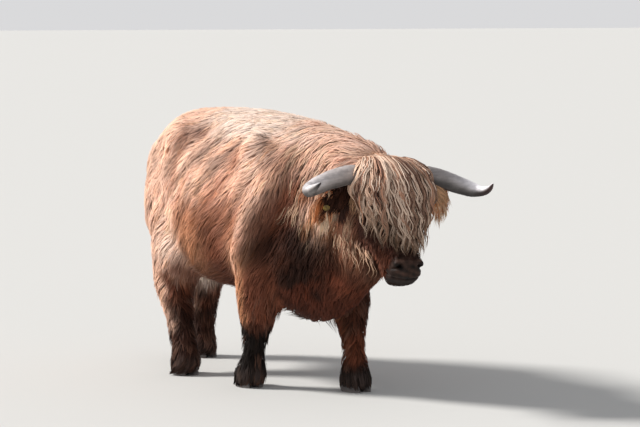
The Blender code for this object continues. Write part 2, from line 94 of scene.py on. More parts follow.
TRUNK_ROWS = ((0.755, 0.980, 0.82, 0.030, -0.10),
              (0.735, 1.040, 0.70, 0.086, -0.16),
              (0.690, 1.105, 0.60, 0.152, -0.18),
              (0.600, 1.175, 0.55, 0.214, -0.18),
              (0.500, 1.218, 0.51, 0.266, -0.16),
              (0.390, 1.240, 0.48, 0.296, -0.12),
              (0.250, 1.248, 0.45, 0.300, -0.06),
              (0.050, 1.252, 0.43, 0.335, -0.10),
              (-0.150, 1.250, 0.42, 0.340, -0.10),
              (-0.330, 1.240, 0.40, 0.315, -0.06),
              (-0.480, 1.224, 0.36, 0.285, -0.02),
              (-0.620, 1.195, 0.34, 0.245, 0.00),
              (-0.740, 1.120, 0.42, 0.190, 0.00),
              (-0.820, 1.000, 0.56, 0.110, 0.00))
NECK_ROWS = ((-0.200, 1.238, -0.340, 0.46, 0.270, 0.00),
             (-0.420, 1.230, -0.500, 0.34, 0.268, 0.00),
             (-0.600, 1.214, -0.640, 0.32, 0.240, 0.05),
             (-0.760, 1.192, -0.770, 0.36, 0.212, 0.12),
             (-0.900, 1.160, -0.890, 0.45, 0.190, 0.18),
             (-1.010, 1.122, -0.985, 0.52, 0.165, 0.22),
             (-1.080, 1.085, -1.055, 0.58, 0.130, 0.22))
HEAD_ROWS = ((0.000, 1.050, -0.120, 1.000, 0.085, 0.10),
             (0.060, 1.030, -0.130, 0.930, 0.128, 0.12),
             (0.108, 0.980, -0.125, 0.830, 0.136, 0.14),
             (0.135, 0.915, -0.095, 0.750, 0.128, 0.14),
             (0.152, 0.850, -0.045, 0.690, 0.112, 0.10),
             (0.172, 0.780, 0.010, 0.640, 0.096, 0.04),
             (0.192, 0.710, 0.050, 0.595, 0.080, 0.00),
             (0.210, 0.655, 0.076, 0.560, 0.077, 0.00),
             (0.214, 0.615, 0.092, 0.542, 0.078, 0.00),
             (0.198, 0.580, 0.104, 0.534, 0.066, 0.00),
             (0.172, 0.556, 0.120, 0.534, 0.040, 0.00))
LEG_JOINTS = {
    "leg_fore_right": ((-0.195, -0.47, 0.80), (-0.195, -0.43, 0.60), (-0.185, -0.402, 0.36),
                       (-0.172, -0.332, 0.17), (-0.168, -0.288, 0.0)),
    "leg_fore_left": ((0.195, -0.50, 0.80), (0.195, -0.52, 0.60), (0.180, -0.590, 0.36),
                      (0.165, -0.655, 0.15), (0.160, -0.670, 0.0)),
    "leg_hind_right": ((-0.160, 0.36, 0.85), (-0.190, 0.315, 0.62), (-0.210, 0.318, 0.40),
                       (-0.220, 0.214, 0.17), (-0.220, 0.203, 0.0)),
    "leg_hind_left": ((0.160, 0.42, 0.85), (0.180, 0.52, 0.62), (0.166, 0.665, 0.40),
                      (0.158, 0.685, 0.15), (0.155, 0.680, 0.0)),
}
FORE_OUTLINE = ((0.80, 0.150, 0.105), (0.62, 0.140, 0.110), (0.50, 0.126, 0.108), (0.42, 0.108, 0.100),
                (0.34, 0.087, 0.080), (0.27, 0.066, 0.062), (0.21, 0.056, 0.052), (0.16, 0.058, 0.054),
                (0.10, 0.072, 0.066), (0.055, 0.084, 0.074), (0.030, 0.076, 0.068))
HIND_OUTLINE = ((0.85, 0.200, 0.110), (0.70, 0.188, 0.114), (0.58, 0.168, 0.112), (0.48, 0.134, 0.102),
                (0.38, 0.102, 0.085), (0.28, 0.080, 0.069), (0.17, 0.068, 0.060), (0.10, 0.074, 0.066),
                (0.055, 0.084, 0.074), (0.030, 0.076, 0.068))
# Forelock curtain in the head frame: height, forward, half width, half depth
FORELOCK_ROWS = ((1.092, -0.004, 0.004, 0.004), (1.086, 0.008, 0.064, 0.034),
                 (1.070, 0.020, 0.134, 0.080), (1.030, 0.040, 0.176, 0.110),
                 (0.970, 0.066, 0.196, 0.130), (0.900, 0.088, 0.192, 0.130), (0.820, 0.116, 0.166, 0.116),
                 (0.755, 0.144, 0.130, 0.096), (0.705, 0.168, 0.092, 0.070), (0.668, 0.184, 0.048, 0.042))
TAIL_LINE = ((0.000, 0.600, 1.130, 0.040), (0.000, 0.690, 1.105, 0.040), (0.000, 0.742, 1.040, 0.036),
             (0.000, 0.766, 0.930, 0.032), (0.000, 0.766, 0.800, 0.030), (0.000, 0.760, 0.700, 0.032))
SWITCH_LINE = ((0.000, 0.760, 0.700, 0.032), (0.000, 0.757, 0.640, 0.043), (0.000, 0.752, 0.540, 0.052),
               (0.000, 0.748, 0.430, 0.052), (0.000, 0.746, 0.340, 0.042), (0.000, 0.746, 0.270, 0.022))

# Edges of the coat on each side, as y and z: the fur stands proud behind them and falls away in front
SHOULDER_EDGE = ((-0.60, 1.17), (-0.63, 1.06), (-0.61, 0.95), (-0.55, 0.82), (-0.47, 0.69), (-0.42, 0.58))
THIGH_EDGE = ((0.205, 1.16), (0.200, 1.08), (0.220, 0.96), (0.240, 0.86))


# ---------------------------------------------------------------- small tools


def srgb(red, green, blue):
    """Linear colour of three 0 to 255 display values."""
    value = np.array((red, green, blue)) / 255
    return np.where(value <= 0.04045, value / 12.92, ((value + 0.055) / 1.055) ** 2.4)


def step(low, high, value):
    """Smoothly 0 to 1 as value goes from low to high; low may be the larger."""
    t = np.clip((value - low) / (high - low), 0, 1)
    return t * t * (3 - 2 * t)


def unit(v):
    return v / np.maximum(np.linalg.norm(v, axis=-1, keepdims=True), 1e-9)


def dot(a, b):
    return (a * b).sum(-1, keepdims=True)


def bump(p, at, radii):
    """1 at a point, fading to 0 about a radius away along each axis."""
    return np.exp(-(((p - np.array(at)) / np.array(radii)) ** 2).sum(-1))


def bell(value, middle, width):
    """1 where a value is at the middle, fading to 0 on both sides."""
    return np.exp(-(((value - middle) / width) ** 2))


def noise(p, size, seed):
    """A smooth random field between about -1 and 1, with features of a size."""
    field = np.random.default_rng(seed)
    total = np.zeros(len(p))
    for _ in range(7):
        wave = field.normal(size=3)
        wave *= field.uniform(0.6, 1.5) * math.pi / (size * np.linalg.norm(wave))
        total += np.sin(p @ wave + field.uniform(0, 2 * math.pi))
    return total / 2.6


def smooth_rows(rows, between):
    """Catmull-Rom rows through the given rows, with this many steps between each two."""
    keys = np.array(rows, float)
    padded = np.vstack([2 * keys[0] - keys[1], keys, 2 * keys[-1] - keys[-2]])
    made = []
    for i in range(1, len(padded) - 2):
        p0, p1, p2, p3 = padded[i - 1 : i + 3]
        for t in np.arange(between) / between:
            made.append(0.5 * (2 * p1 + (p2 - p0) * t + (2 * p0 - 5 * p1 + 4 * p2 - p3) * t**2
                               + (3 * p1 - p0 - 3 * p2 + p3) * t**3))
    made.append(keys[-1])
    return np.array(made)


def head_axes():
    turn = Matrix.Rotation(HEAD_YAW, 3, "Z")
    forward = turn @ Vector((0, -1, 0))
    across = Matrix.Rotation(-HEAD_ROLL, 3, forward) @ (turn @ Vector((1, 0, 0)))
    return np.array(across), np.array(forward)


HEAD_ACROSS, HEAD_FORWARD = head_axes()


def head_point(across_by, forward_by, height):
    return (HEAD_AT + np.multiply.outer(across_by, HEAD_ACROSS) + np.multiply.outer(forward_by, HEAD_FORWARD)
            + np.multiply.outer(height, UP))


def eye_at(side):
    """The middle of an eye in the head frame; side is -1 on the right and 1 on the left."""
    return side * EYE_AT[0], EYE_AT[1], EYE_AT[2]


def folded(h):
    """Head-frame coordinates with the right half laid over the left."""
    return np.stack([np.abs(h[:, 0]), h[:, 1], h[:, 2]], 1)


def in_head(p):
    """Across, forward and height of design points in the head frame."""
    away = p - HEAD_AT
    axes = np.array((HEAD_ACROSS, HEAD_FORWARD, UP))
    return away @ np.linalg.inv(axes)


def leg_middle(name, height):
    path = smooth_rows(LEG_JOINTS[name], 8)[::-1]
    return np.interp(height, path[:, 2], path[:, 0]), np.interp(height, path[:, 2], path[:, 1])


def leg_size(name, height):
    outline = np.array(FORE_OUTLINE if "fore" in name else HIND_OUTLINE)[::-1]
    return np.interp(height, outline[:, 0], outline[:, 1]), np.interp(height, outline[:, 0], outline[:, 2])


def row_shift():
    """From the design frame, whose origin is between the feet, to the row frame."""
    low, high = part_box("eye_left")
    return np.array((low + high) / 2) - head_point(*eye_at(1))


# ---------------------------------------------------------------- lofts


def ring(top, bottom, across, half_width, squareness, lean, count):
    angle = np.arange(count) * 2 * math.pi / count
    power = 2 / squareness
    x = np.sign(np.cos(angle)) * np.abs(np.cos(angle)) ** power * half_width
    y = np.sign(np.sin(angle)) * np.abs(np.sin(angle)) ** power
    return (top + bottom) / 2 + np.outer(x * (1 + lean * y), across) + np.outer(y, (top - bottom) / 2)


def skin_over(shape, rings):
    """Add a closed loft over rings of equal point count to a bmesh."""
    rows = [[shape.verts.new(p) for p in points] for points in rings]
    count = len(rows[0])
    faces = []
    for low, high in zip(rows, rows[1:]):
        for i in range(count):
            j = (i + 1) % count
            faces.append(shape.faces.new((low[i], low[j], high[j], high[i])))
    faces.append(shape.faces.new(rows[0][::-1]))
    faces.append(shape.faces.new(rows[-1]))
    return faces


def tube_rings(line, count, dome=()):
    """Round rings along (x, y, z, radius) rows; dome lists (share of radius, share ahead) of end rings."""
    points, radii = line[:, :3], line[:, 3]
    ahead = unit(np.gradient(points, axis=0))
    side = unit(np.cross(ahead[0], (0.3, 0.2, 0.9)))
    angle = np.arange(count) * 2 * math.pi / count
    rings = []
    for point, radius, along in zip(points, radii, ahead):
        side = unit(side - along * side.dot(along))
        other = np.cross(along, side)
        rings.append(point + radius * (np.outer(np.cos(angle), side) + np.outer(np.sin(angle), other)))
    centre = points[-1]
    for share, forward in dome:
        rings.append(centre + (rings[len(points) - 1] - centre) * share + ahead[-1] * radii[-1] * forward)
    return rings


def add_object(name, data):
    obj = bpy.data.objects.new(name, data)
    bpy.context.scene.collection.objects.link(obj)
    return obj


def mesh_of(shape, name):
    """A mesh from a bmesh, which it frees."""
    mesh = bpy.data.meshes.new(name)
    shape.to_mesh(mesh)
    shape.free()
    return mesh


def ellipsoid(shape, centre, radii):
    made = bmesh.ops.create_uvsphere(shape, u_segments=32, v_segments=18, radius=1)["verts"]
    bmesh.ops.scale(shape, vec=radii, verts=made)
    bmesh.ops.translate(shape, vec=centre, verts=made)


# ---------------------------------------------------------------- the skin


def add_trunk(shape):
    rings = []
    for y, top, low, width, lean in smooth_rows(TRUNK_ROWS, 6):
        rings.append(ring(np.array((0, y, top)), np.array((0, y, low)), (1, 0, 0), width, 2.35, lean, 64))
    skin_over(shape, rings)


def add_neck(shape):
    rings = []
    for crest_y, crest_z, throat_y, throat_z, width, lean in smooth_rows(NECK_ROWS, 6):
        turned = max(0.0, min(1.0, (-crest_y - 0.6) / 0.45))
        offset = np.array((HEAD_AT[0] * turned, 0, 0))
        across = np.array((1, 0, 0)) * (1 - turned) + HEAD_ACROSS * turned
        crest, throat = np.array(((0, crest_y, crest_z), (0, throat_y, throat_z))) + offset
        rings.append(ring(crest, throat, across, width, 2.1, lean, 64))
    skin_over(shape, rings)


def add_head(shape):
    rings = []
    for brow, brow_z, jaw, jaw_z, width, lean in smooth_rows(HEAD_ROWS, 6):
        top, bottom = head_point(0, brow, brow_z), head_point(0, jaw, jaw_z)
        rings.append(ring(top, bottom, HEAD_ACROSS, width, 2.5, lean, 48))
    skin_over(shape, rings)


def add_leg(shape, name):
    outline = FORE_OUTLINE if "fore" in name else HIND_OUTLINE
    rings = []
    for height, depth, width in smooth_rows(outline, 6):
        x, y = leg_middle(name, height)
        middle, along = np.array((x, y, height)), np.array((0, -depth, 0))
        rings.append(ring(middle + along, middle - along, (1, 0, 0), width, 2.1, 0, 40))
    skin_over(shape, rings)


def add_ear(shape, side):
    rings = []
    for over, ahead, height, half, thick, hang in ear_rows(side, 5):
        angle = np.arange(32) * 2 * math.pi / 32
        up_by = np.sin(angle)
        # bare ear: the fringe is left to the coat
        middle = head_point(side * over, ahead, height - hang * 0.35)
        thick = max(thick, 0.013)
        edge = np.sign(np.cos(angle)) * np.abs(np.cos(angle)) ** 0.6
        cup = np.where(edge > 0, 0.95 * thick * (1 - up_by**2), 0.0)
        rings.append(middle + np.outer(half * 0.90 * up_by, UP) + np.outer(thick * edge - cup, HEAD_FORWARD))
    skin_over(shape, rings)


def add_masses(shape):
    """The rounded masses of the solids, and filling behind the eyes and horns."""
    masses = [((0, -0.59, 0.43), (0.115, 0.16, 0.120)),
              (head_point(0, 0.0, 1.030), (0.10, 0.075, 0.040)),
              (head_point(0, 0.118, 0.570), (0.050, 0.052, 0.036))]
    for side in (-1, 1):
        masses += [((side * 0.185, 0.27, 1.085), (0.095, 0.150, 0.095)),
                   ((side * 0.090, 0.610, 0.950), (0.095, 0.110, 0.150)),
                   ((side * 0.155, 0.40, 0.800), (0.125, 0.19, 0.30)),
                   ((side * 0.215, -0.44, 0.870), (0.105, 0.17, 0.30)),
                   (head_point(side * 0.085, 0.085, 0.900), (0.045, 0.045, 0.035)),
                   (head_point(side * 0.070, -0.010, 0.770), (0.045, 0.085, 0.085)),
                   (head_point(side * 0.042, 0.196, 0.630), (0.034, 0.032, 0.032)),
                   (head_point(side * 0.110, 0.008, 1.004), (0.060, 0.052, 0.050))]
    for centre, radii in masses:
        ellipsoid(shape, centre, radii)


def read(items, key, width=1, kind=np.int32):
    """One property of all of a mesh's elements, as an array with a row for each."""
    found = np.empty(len(items) * width, kind)
    items.foreach_get(key, found)
    return found.reshape(-1, width) if width > 1 else found


def points_of(mesh):
    return read(mesh.vertices, "co", 3, float)


def normals_of(mesh):
    return read(mesh.vertex_normals, "vector", 3, np.float32).astype(float)


def put(mesh, co):
    mesh.vertices.foreach_set("co", co.astype(np.float32).ravel())
    mesh.update()


def edges_of(mesh):
    return read(mesh.edges, "vertices", 2)


def relax(values, pairs, times, share=0.5, weight=None):
    """Move each value towards the mean of its neighbours', several times."""
    a, b = pairs.T
    size = len(values)
    count = np.maximum(np.bincount(a, minlength=size) + np.bincount(b, minlength=size), 1)[:, None]
    share = share if weight is None else share * weight[:, None]
    for _ in range(times):
        mean = np.stack([np.bincount(a, values[b, i], size) + np.bincount(b, values[a, i], size)
                         for i in range(values.shape[1])], 1) / count
        values = values + (mean - values) * share
    return values


def evaluated(obj):
    graph = bpy.context.evaluated_depsgraph_get()
    return bpy.data.meshes.new_from_object(obj.evaluated_get(graph))


def behind_edge(p, line):
    """How far points lie behind an edge of the coat, and how much they are level with it."""
    y, z = np.array(line)[::-1].T
    level = step(z[0] - 0.06, z[0] + 0.06, p[:, 2]) * step(z[-1] + 0.05, z[-1] - 0.12, p[:, 2])
    return p[:, 1] - np.interp(p[:, 2], z, y), level * step(0.07, 0.20, np.abs(p[:, 0]))


def combed(p, seed):
    """Bands that run down and back along the flank, as the coat parts, from about -1 to 1."""
    across = p[:, 1] * 0.67 + p[:, 2] * 0.74
    along = p[:, 1] * 0.74 - p[:, 2] * 0.67
    return noise(np.stack([across, along * 0.16, p[:, 0] * 0.2], 1), 0.055, seed)


def leg_nearness(p):
    """1 inside the outline of a leg below the body, 0 away from it, and the leg's index."""
    best = np.zeros(len(p))
    which = np.zeros(len(p), int)
    for i, name in enumerate(LEG_JOINTS):
        x, y = leg_middle(name, p[:, 2])
        depth, width = leg_size(name, p[:, 2])
        far = np.sqrt(((p[:, 0] - x) / width) ** 2 + ((p[:, 1] - y) / depth) ** 2)
        near = step(1.30, 1.05, far) * step(0.60, 0.46, p[:, 2])
        which = np.where(near > best, i, which)
        best = np.maximum(best, near)
    return best, which


def ear_rows(side, between):
    """Rows along an ear; the left one is held higher."""
    rows = smooth_rows(EAR_LINE, between)
    if side > 0:
        rows[:, 2] += 0.26 * (rows[:, 0] - 0.1)
        rows[:, 0] *= 0.96
    return rows


def ear_nearness(h):
    """1 on an ear, from head-frame coordinates."""
    over = np.abs(h[:, 0])
    height = np.zeros(len(h))
    for side in (-1, 1):
        line = ear_rows(side, 1)
        level = np.interp(over, line[:, 0], line[:, 2] - line[:, 5] * 0.35)
        height = np.where(h[:, 0] * side > 0, level, height)
    return (step(0.135, 0.158, over) * step(0.09, 0.07, np.abs(h[:, 2] - height))
            * step(0.055, 0.04, np.abs(h[:, 1] + 0.018)))


def tail_nearness(p):
    line = np.array(TAIL_LINE)[::-1]
    y = np.interp(p[:, 2], line[:, 2], line[:, 1])
    away = np.hypot(p[:, 0], p[:, 1] - y)
    return step(0.065, 0.045, away) * step(1.06, 1.0, p[:, 2]) * step(0.715, 0.73, p[:, 1])


class Regions:
    """How much each design point belongs to each part of the body."""

    def __init__(self, p):
        h = in_head(p)
        self.h = h
        self.ear = ear_nearness(h)
        self.head = step(-0.085, -0.03, h[:, 1]) * step(-0.93, -0.98, p[:, 1]) * (1 - self.ear)
        self.muzzle = step(-0.012, 0.02, (h[:, 1] - 0.135) * 0.669 - (h[:, 2] - 0.650) * 0.743) * self.head
        self.leg, self.which = leg_nearness(p)
        self.tail = tail_nearness(p)
        rest = (1 - self.head) * (1 - self.leg) * (1 - self.ear) * (1 - self.tail)
        self.neck = step(-0.50, -0.72, p[:, 1]) * rest
        self.trunk = rest - self.neck

    def blend(self, trunk=0.0, neck=0.0, leg=0.0, head=0.0, ear=0.0, tail=0.0):
        """One value for each point from a value for each part."""
        return (trunk * self.trunk + neck * self.neck + leg * self.leg + head * self.head + ear * self.ear
                + tail * self.tail)


def coat_depth(p, normal):
    """How far the skin lies below the tips of the coat."""
    r = Regions(p)
    top = step(0.5, 0.95, normal[:, 2])
    trunk = 0.026 - 0.010 * top + 0.012 * step(-0.3, -0.9, normal[:, 2])
    neck = 0.040 - 0.014 * top - 0.018 * step(0.75, 0.55, p[:, 2])
    leg = 0.016 + 0.014 * step(0.20, 0.50, p[:, 2])
    # the face is short-haired; round the eyes and on the muzzle it is nearly bare
    face = 0.012 - 0.010 * r.muzzle + 0.010 * step(-0.02, -0.08, r.h[:, 1])
    for side in (-1, 1):
        face = face - 0.009 * bump(r.h, eye_at(side), (0.05, 0.05, 0.05))
    depth = r.blend(trunk, neck, leg, face, tail=0.010)
    return np.maximum(depth, 0.0005) * (1 - r.ear)


# Outward height, place on the left side and radii
BODY_BUMPS = ((0.018, (0.210, 0.215, 1.160), (0.07, 0.08, 0.05)),  # point of the hip
              (0.012, (0.130, 0.130, 1.238), (0.07, 0.06, 0.05)),  # edge of the loin
              (-0.038, (0.215, 0.038, 1.122), (0.10, 0.065, 0.055)),  # hollow before the hip
              (-0.014, (0.270, 0.440, 1.000), (0.08, 0.09, 0.12)),  # hollow of the thigh
              (0.012, (0.300, -0.430, 0.700), (0.09, 0.08, 0.14)))  # muscle above the elbow
# The same in the head frame
HEAD_BUMPS = ((0.012, (0.095, 0.085, 0.905), (0.035, 0.04, 0.022)),  # brow
              (-0.008, (0.070, 0.150, 0.800), (0.03, 0.05, 0.05)),
              (0.006, (0.105, 0.020, 0.800), (0.04, 0.05, 0.03)),  # cheek bone
              (-0.006, (0.085, 0.100, 0.700), (0.03, 0.04, 0.04)),
              # nostril: a comma-shaped hollow inside a raised wing
              (0.005, (0.056, 0.214, 0.634), (0.030, 0.028, 0.030)),
              (-0.030, (0.046, 0.228, 0.632), (0.0130, 0.024, 0.0125)),
              (-0.024, (0.060, 0.214, 0.620), (0.0120, 0.024, 0.0095)),
              (-0.010, (0.071, 0.200, 0.616), (0.013, 0.024, 0.006)),
              (0.004, (0.050, 0.224, 0.652), (0.020, 0.022, 0.010)))


def body_relief(p, normal):
    """Bones, muscles and hollows that show through the coat: outward movement by place."""
    out = np.zeros(len(p))
    x, y, z = p.T
    flank = step(0.12, 0.24, np.abs(x))
    for side in (-1, 1):
        for height, (across, back, up), radii in BODY_BUMPS:
            out += height * bump(p, (side * across, back, up), radii)
    for line, high, far in ((SHOULDER_EDGE, 0.030, 0.115), (THIGH_EDGE, 0.024, 0.13)):
        away, level = behind_edge(p, line)
        out += high * step(-0.045, 0.010, away) * step(far, 0.015, away) * level
        out -= 0.45 * high * bell(away, -0.085, 0.05) * level
    out += 0.0085 * combed(p, 41) * flank * step(-0.45, -0.30, y) * step(0.55, 0.68, z) * step(1.20, 1.08, z)
    ribs = 0.0030 * np.sin((y + 0.35 * (z - 0.8)) * 2 * math.pi / 0.085)
    out += (ribs * flank * step(-0.22, -0.10, y) * step(0.22, 0.02, y)
            * step(0.55, 0.68, z) * step(1.12, 1.0, z))
    spine = 0.006 * bell(x, 0, 0.03) * step(-0.5, -0.3, y) * step(0.7, 0.5, y)
    return out + spine * step(0.5, 0.9, normal[:, 2])


def head_relief(h):
    """Shape of the face in the head frame: outward movement by place."""
    h = folded(h)
    over, ahead, height = h.T
    out = sum(high * bump(h, at, radii) for high, at, radii in HEAD_BUMPS)
    # the groove down the middle of the upper lip
    lip = step(0.56, 0.59, height) * step(0.64, 0.61, height)
    out -= 0.003 * bell(over, 0, 0.004) * lip * step(0.15, 0.19, ahead)
    # mouth: a groove that climbs towards the cheeks, with rolled lips either side of it
    mouth = 0.568 + 0.42 * np.maximum(0, 0.185 - ahead) + 0.10 * over
    off = height - mouth
    front = step(0.085, 0.115, ahead) * step(0.70, 0.60, height)
    out -= 0.0065 * bell(off, 0, 0.0045) * front
    out += 0.0025 * bell(off, 0.013, 0.010) * front
    # soft folds across the bridge of the nose
    fold = np.sin(height * 2 * math.pi / 0.013) * bump(h, (0.0, 0.20, 0.685), (0.05, 0.05, 0.03))
    return out + 0.0012 * fold


def seat_eye(co, p, side):
    """Lids: the skin lies on the eyeball round an almond opening, and behind it inside the opening."""
    centre = head_point(*eye_at(side))
    outward = unit(HEAD_ACROSS * side + HEAD_FORWARD * 0.28 + UP * 0.02)
    along = unit(np.cross(UP, outward)) * side
    upward = np.cross(outward, along) * side
    away = p - centre
    u, v, w = away @ along, away @ upward, away @ outward
    near = (np.sqrt(u * u + v * v) < 0.05) & (w > -0.03)
    opening = np.sqrt((u / 0.0165) ** 2 + ((v - 0.001) / 0.0100) ** 2)
    flat = np.minimum(np.sqrt(u * u + v * v), EYE_RADIUS * 0.98)
    ball = np.sqrt(EYE_RADIUS**2 - flat**2)
    lid = ball + 0.0028 + 0.0016 * bell(opening, 1.18, 0.14)
    socket = ball - 0.0045
    level = np.where(opening < 1.0, socket + (lid - socket) * step(0.86, 1.0, opening), lid)
    # a crease above the upper lid and below the lower one
    level = level - 0.0018 * bell(opening, 1.75, 0.13)
    blend = step(2.9, 1.9, opening) * near
    target = w + (level - w) * blend
    co += np.outer((target - w) * (blend > 0), outward)


def make_skin():
    shape = bmesh.new()
    add_trunk(shape)
    add_neck(shape)
    add_head(shape)
    for name in LEG_JOINTS:
        add_leg(shape, name)
    for side in (-1, 1):
        add_ear(shape, side)
    skin_over(shape, tube_rings(smooth_rows(TAIL_LINE, 4), 20, ((0.7, 0.4), (0.3, 0.7))))
    add_masses(shape)
    bmesh.ops.recalc_face_normals(shape, faces=shape.faces)
    skin = add_object("skin", mesh_of(shape, "skin"))
    fuse = skin.modifiers.new("fuse", "REMESH")
    fuse.mode = "VOXEL"
    fuse.voxel_size = SKIN_VOXEL
    fused = evaluated(skin)
    skin.modifiers.clear()
    skin.data = fused
    pairs = edges_of(fused)
    co = relax(points_of(fused), pairs, 8)
    put(fused, co)
    # sink by the coat's depth, in small moves along smoothed normals
    normal = unit(relax(normals_of(fused), pairs, 6))
    depth = relax(coat_depth(co, normal)[:, None], pairs, 10)
    moves = 4
    for _ in range(moves):
        normal = unit(relax(normals_of(fused), pairs, 4))
        co = relax(co - normal * depth / moves, pairs, 1, 0.3)
        put(fused, co)
    co = co + normal * relax(body_relief(co, normal)[:, None], pairs, 2)
    put(fused, co)
    refine(fused, lambda p: (Regions(p).head > 0.3) | (Regions(p).ear > 0.3))
    refine(fused, fine_places)
    pairs = edges_of(fused)
    co = points_of(fused)
    r = Regions(co)
    co = relax(co, pairs, 6, 0.5, np.maximum(r.head, r.ear * 0.5))
    put(fused, co)
    co = co + normals_of(fused) * (head_relief(r.h) * np.maximum(r.head, 0))[:, None]
    put(fused, co)
    for side in (-1, 1):
        seat_eye(co, co.copy(), side)
    put(fused, co)
    return skin


def fine_places(p):
    """The muzzle and the surroundings of the eyes."""
    r = Regions(p)
    near = r.muzzle > 0.1
    for side in (-1, 1):
        near |= bump(r.h, eye_at(side), (0.045, 0.045, 0.045)) > 0.45
    return near


def refine(mesh, chosen):
    """Split the faces whose middles are chosen, once each way."""
    shape = bmesh.new()
    shape.from_mesh(mesh)
    middles = np.array([face.calc_center_median() for face in shape.faces])
    pick = chosen(middles)
    edges = {edge for face, wanted in zip(shape.faces, pick) if wanted for edge in face.edges}
    bmesh.ops.subdivide_edges(shape, edges=list(edges), cuts=1, use_grid_fill=True)
    shape.to_mesh(mesh)
    shape.free()
    mesh.update()


# ---------------------------------------------------------------- fields over the skin


CREAM = srgb(240, 218, 202)
TAN = srgb(232, 189, 165)
RED = srgb(177, 121, 96)
DEEP = srgb(110, 64, 47)
MAROON = srgb(32, 18, 13)
DARK = srgb(28, 21, 18)
FRINGE = srgb(204, 144, 106)
ORANGE = srgb(190, 112, 66)
BLOND = srgb(220, 190, 160)
MUZZLE = srgb(36, 24, 19)
# Colour, strength, place on the left side and radii of patches that both sides have
SIDE_PATCHES = (
    # behind the jaw
    (RED, 0.8, (0.10, -0.98, 0.70), (0.10, 0.05, 0.13)),
    # fold behind the elbow: pale fringe with painted highlight; hollow before the hip: painted shade
    (FRINGE, 0.90, (0.30, -0.37, 0.57), (0.12, 0.065, 0.15)),
    (TAN, 0.50, (0.28, -0.355, 0.57), (0.10, 0.055, 0.09)),
    (srgb(112, 69, 54), 0.80, (0.20, 0.085, 1.134), (0.11, 0.090, 0.042)),
    # the front of the thigh and the fold before it, made paler; the cream patch low on the thigh is painted
    # light
    (FRINGE, 0.65, (0.30, 0.01, 0.67), (0.12, 0.12, 0.15)),
    (CREAM, 0.55, (0.29, 0.27, 0.60), (0.08, 0.08, 0.10)),
    # over the shoulder blade and the hollow behind it: cream patches painted highlight, red ones painted
    # shade
    (CREAM, 0.70, (0.17, -0.39, 1.155), (0.09, 0.09, 0.06)),
    (RED, 0.95, (0.26, -0.34, 1.03), (0.10, 0.075, 0.065)),
    (CREAM, 0.35, (0.25, -0.48, 1.04), (0.07, 0.05, 0.06)),
    (RED, 0.50, (0.23, -0.61, 1.05), (0.08, 0.05, 0.07)),
    (CREAM, 0.45, (0.12, -0.60, 1.145), (0.08, 0.08, 0.05)),
    # the dark of the throat below them
    (MAROON, 0.60, (0.17, -0.71, 0.71), (0.08, 0.09, 0.07)),
)


def mix(a, b, share):
    """From a to b by each point's share; a and b are one colour each, or one for every point."""
    return a + (b - a) * share[:, None]


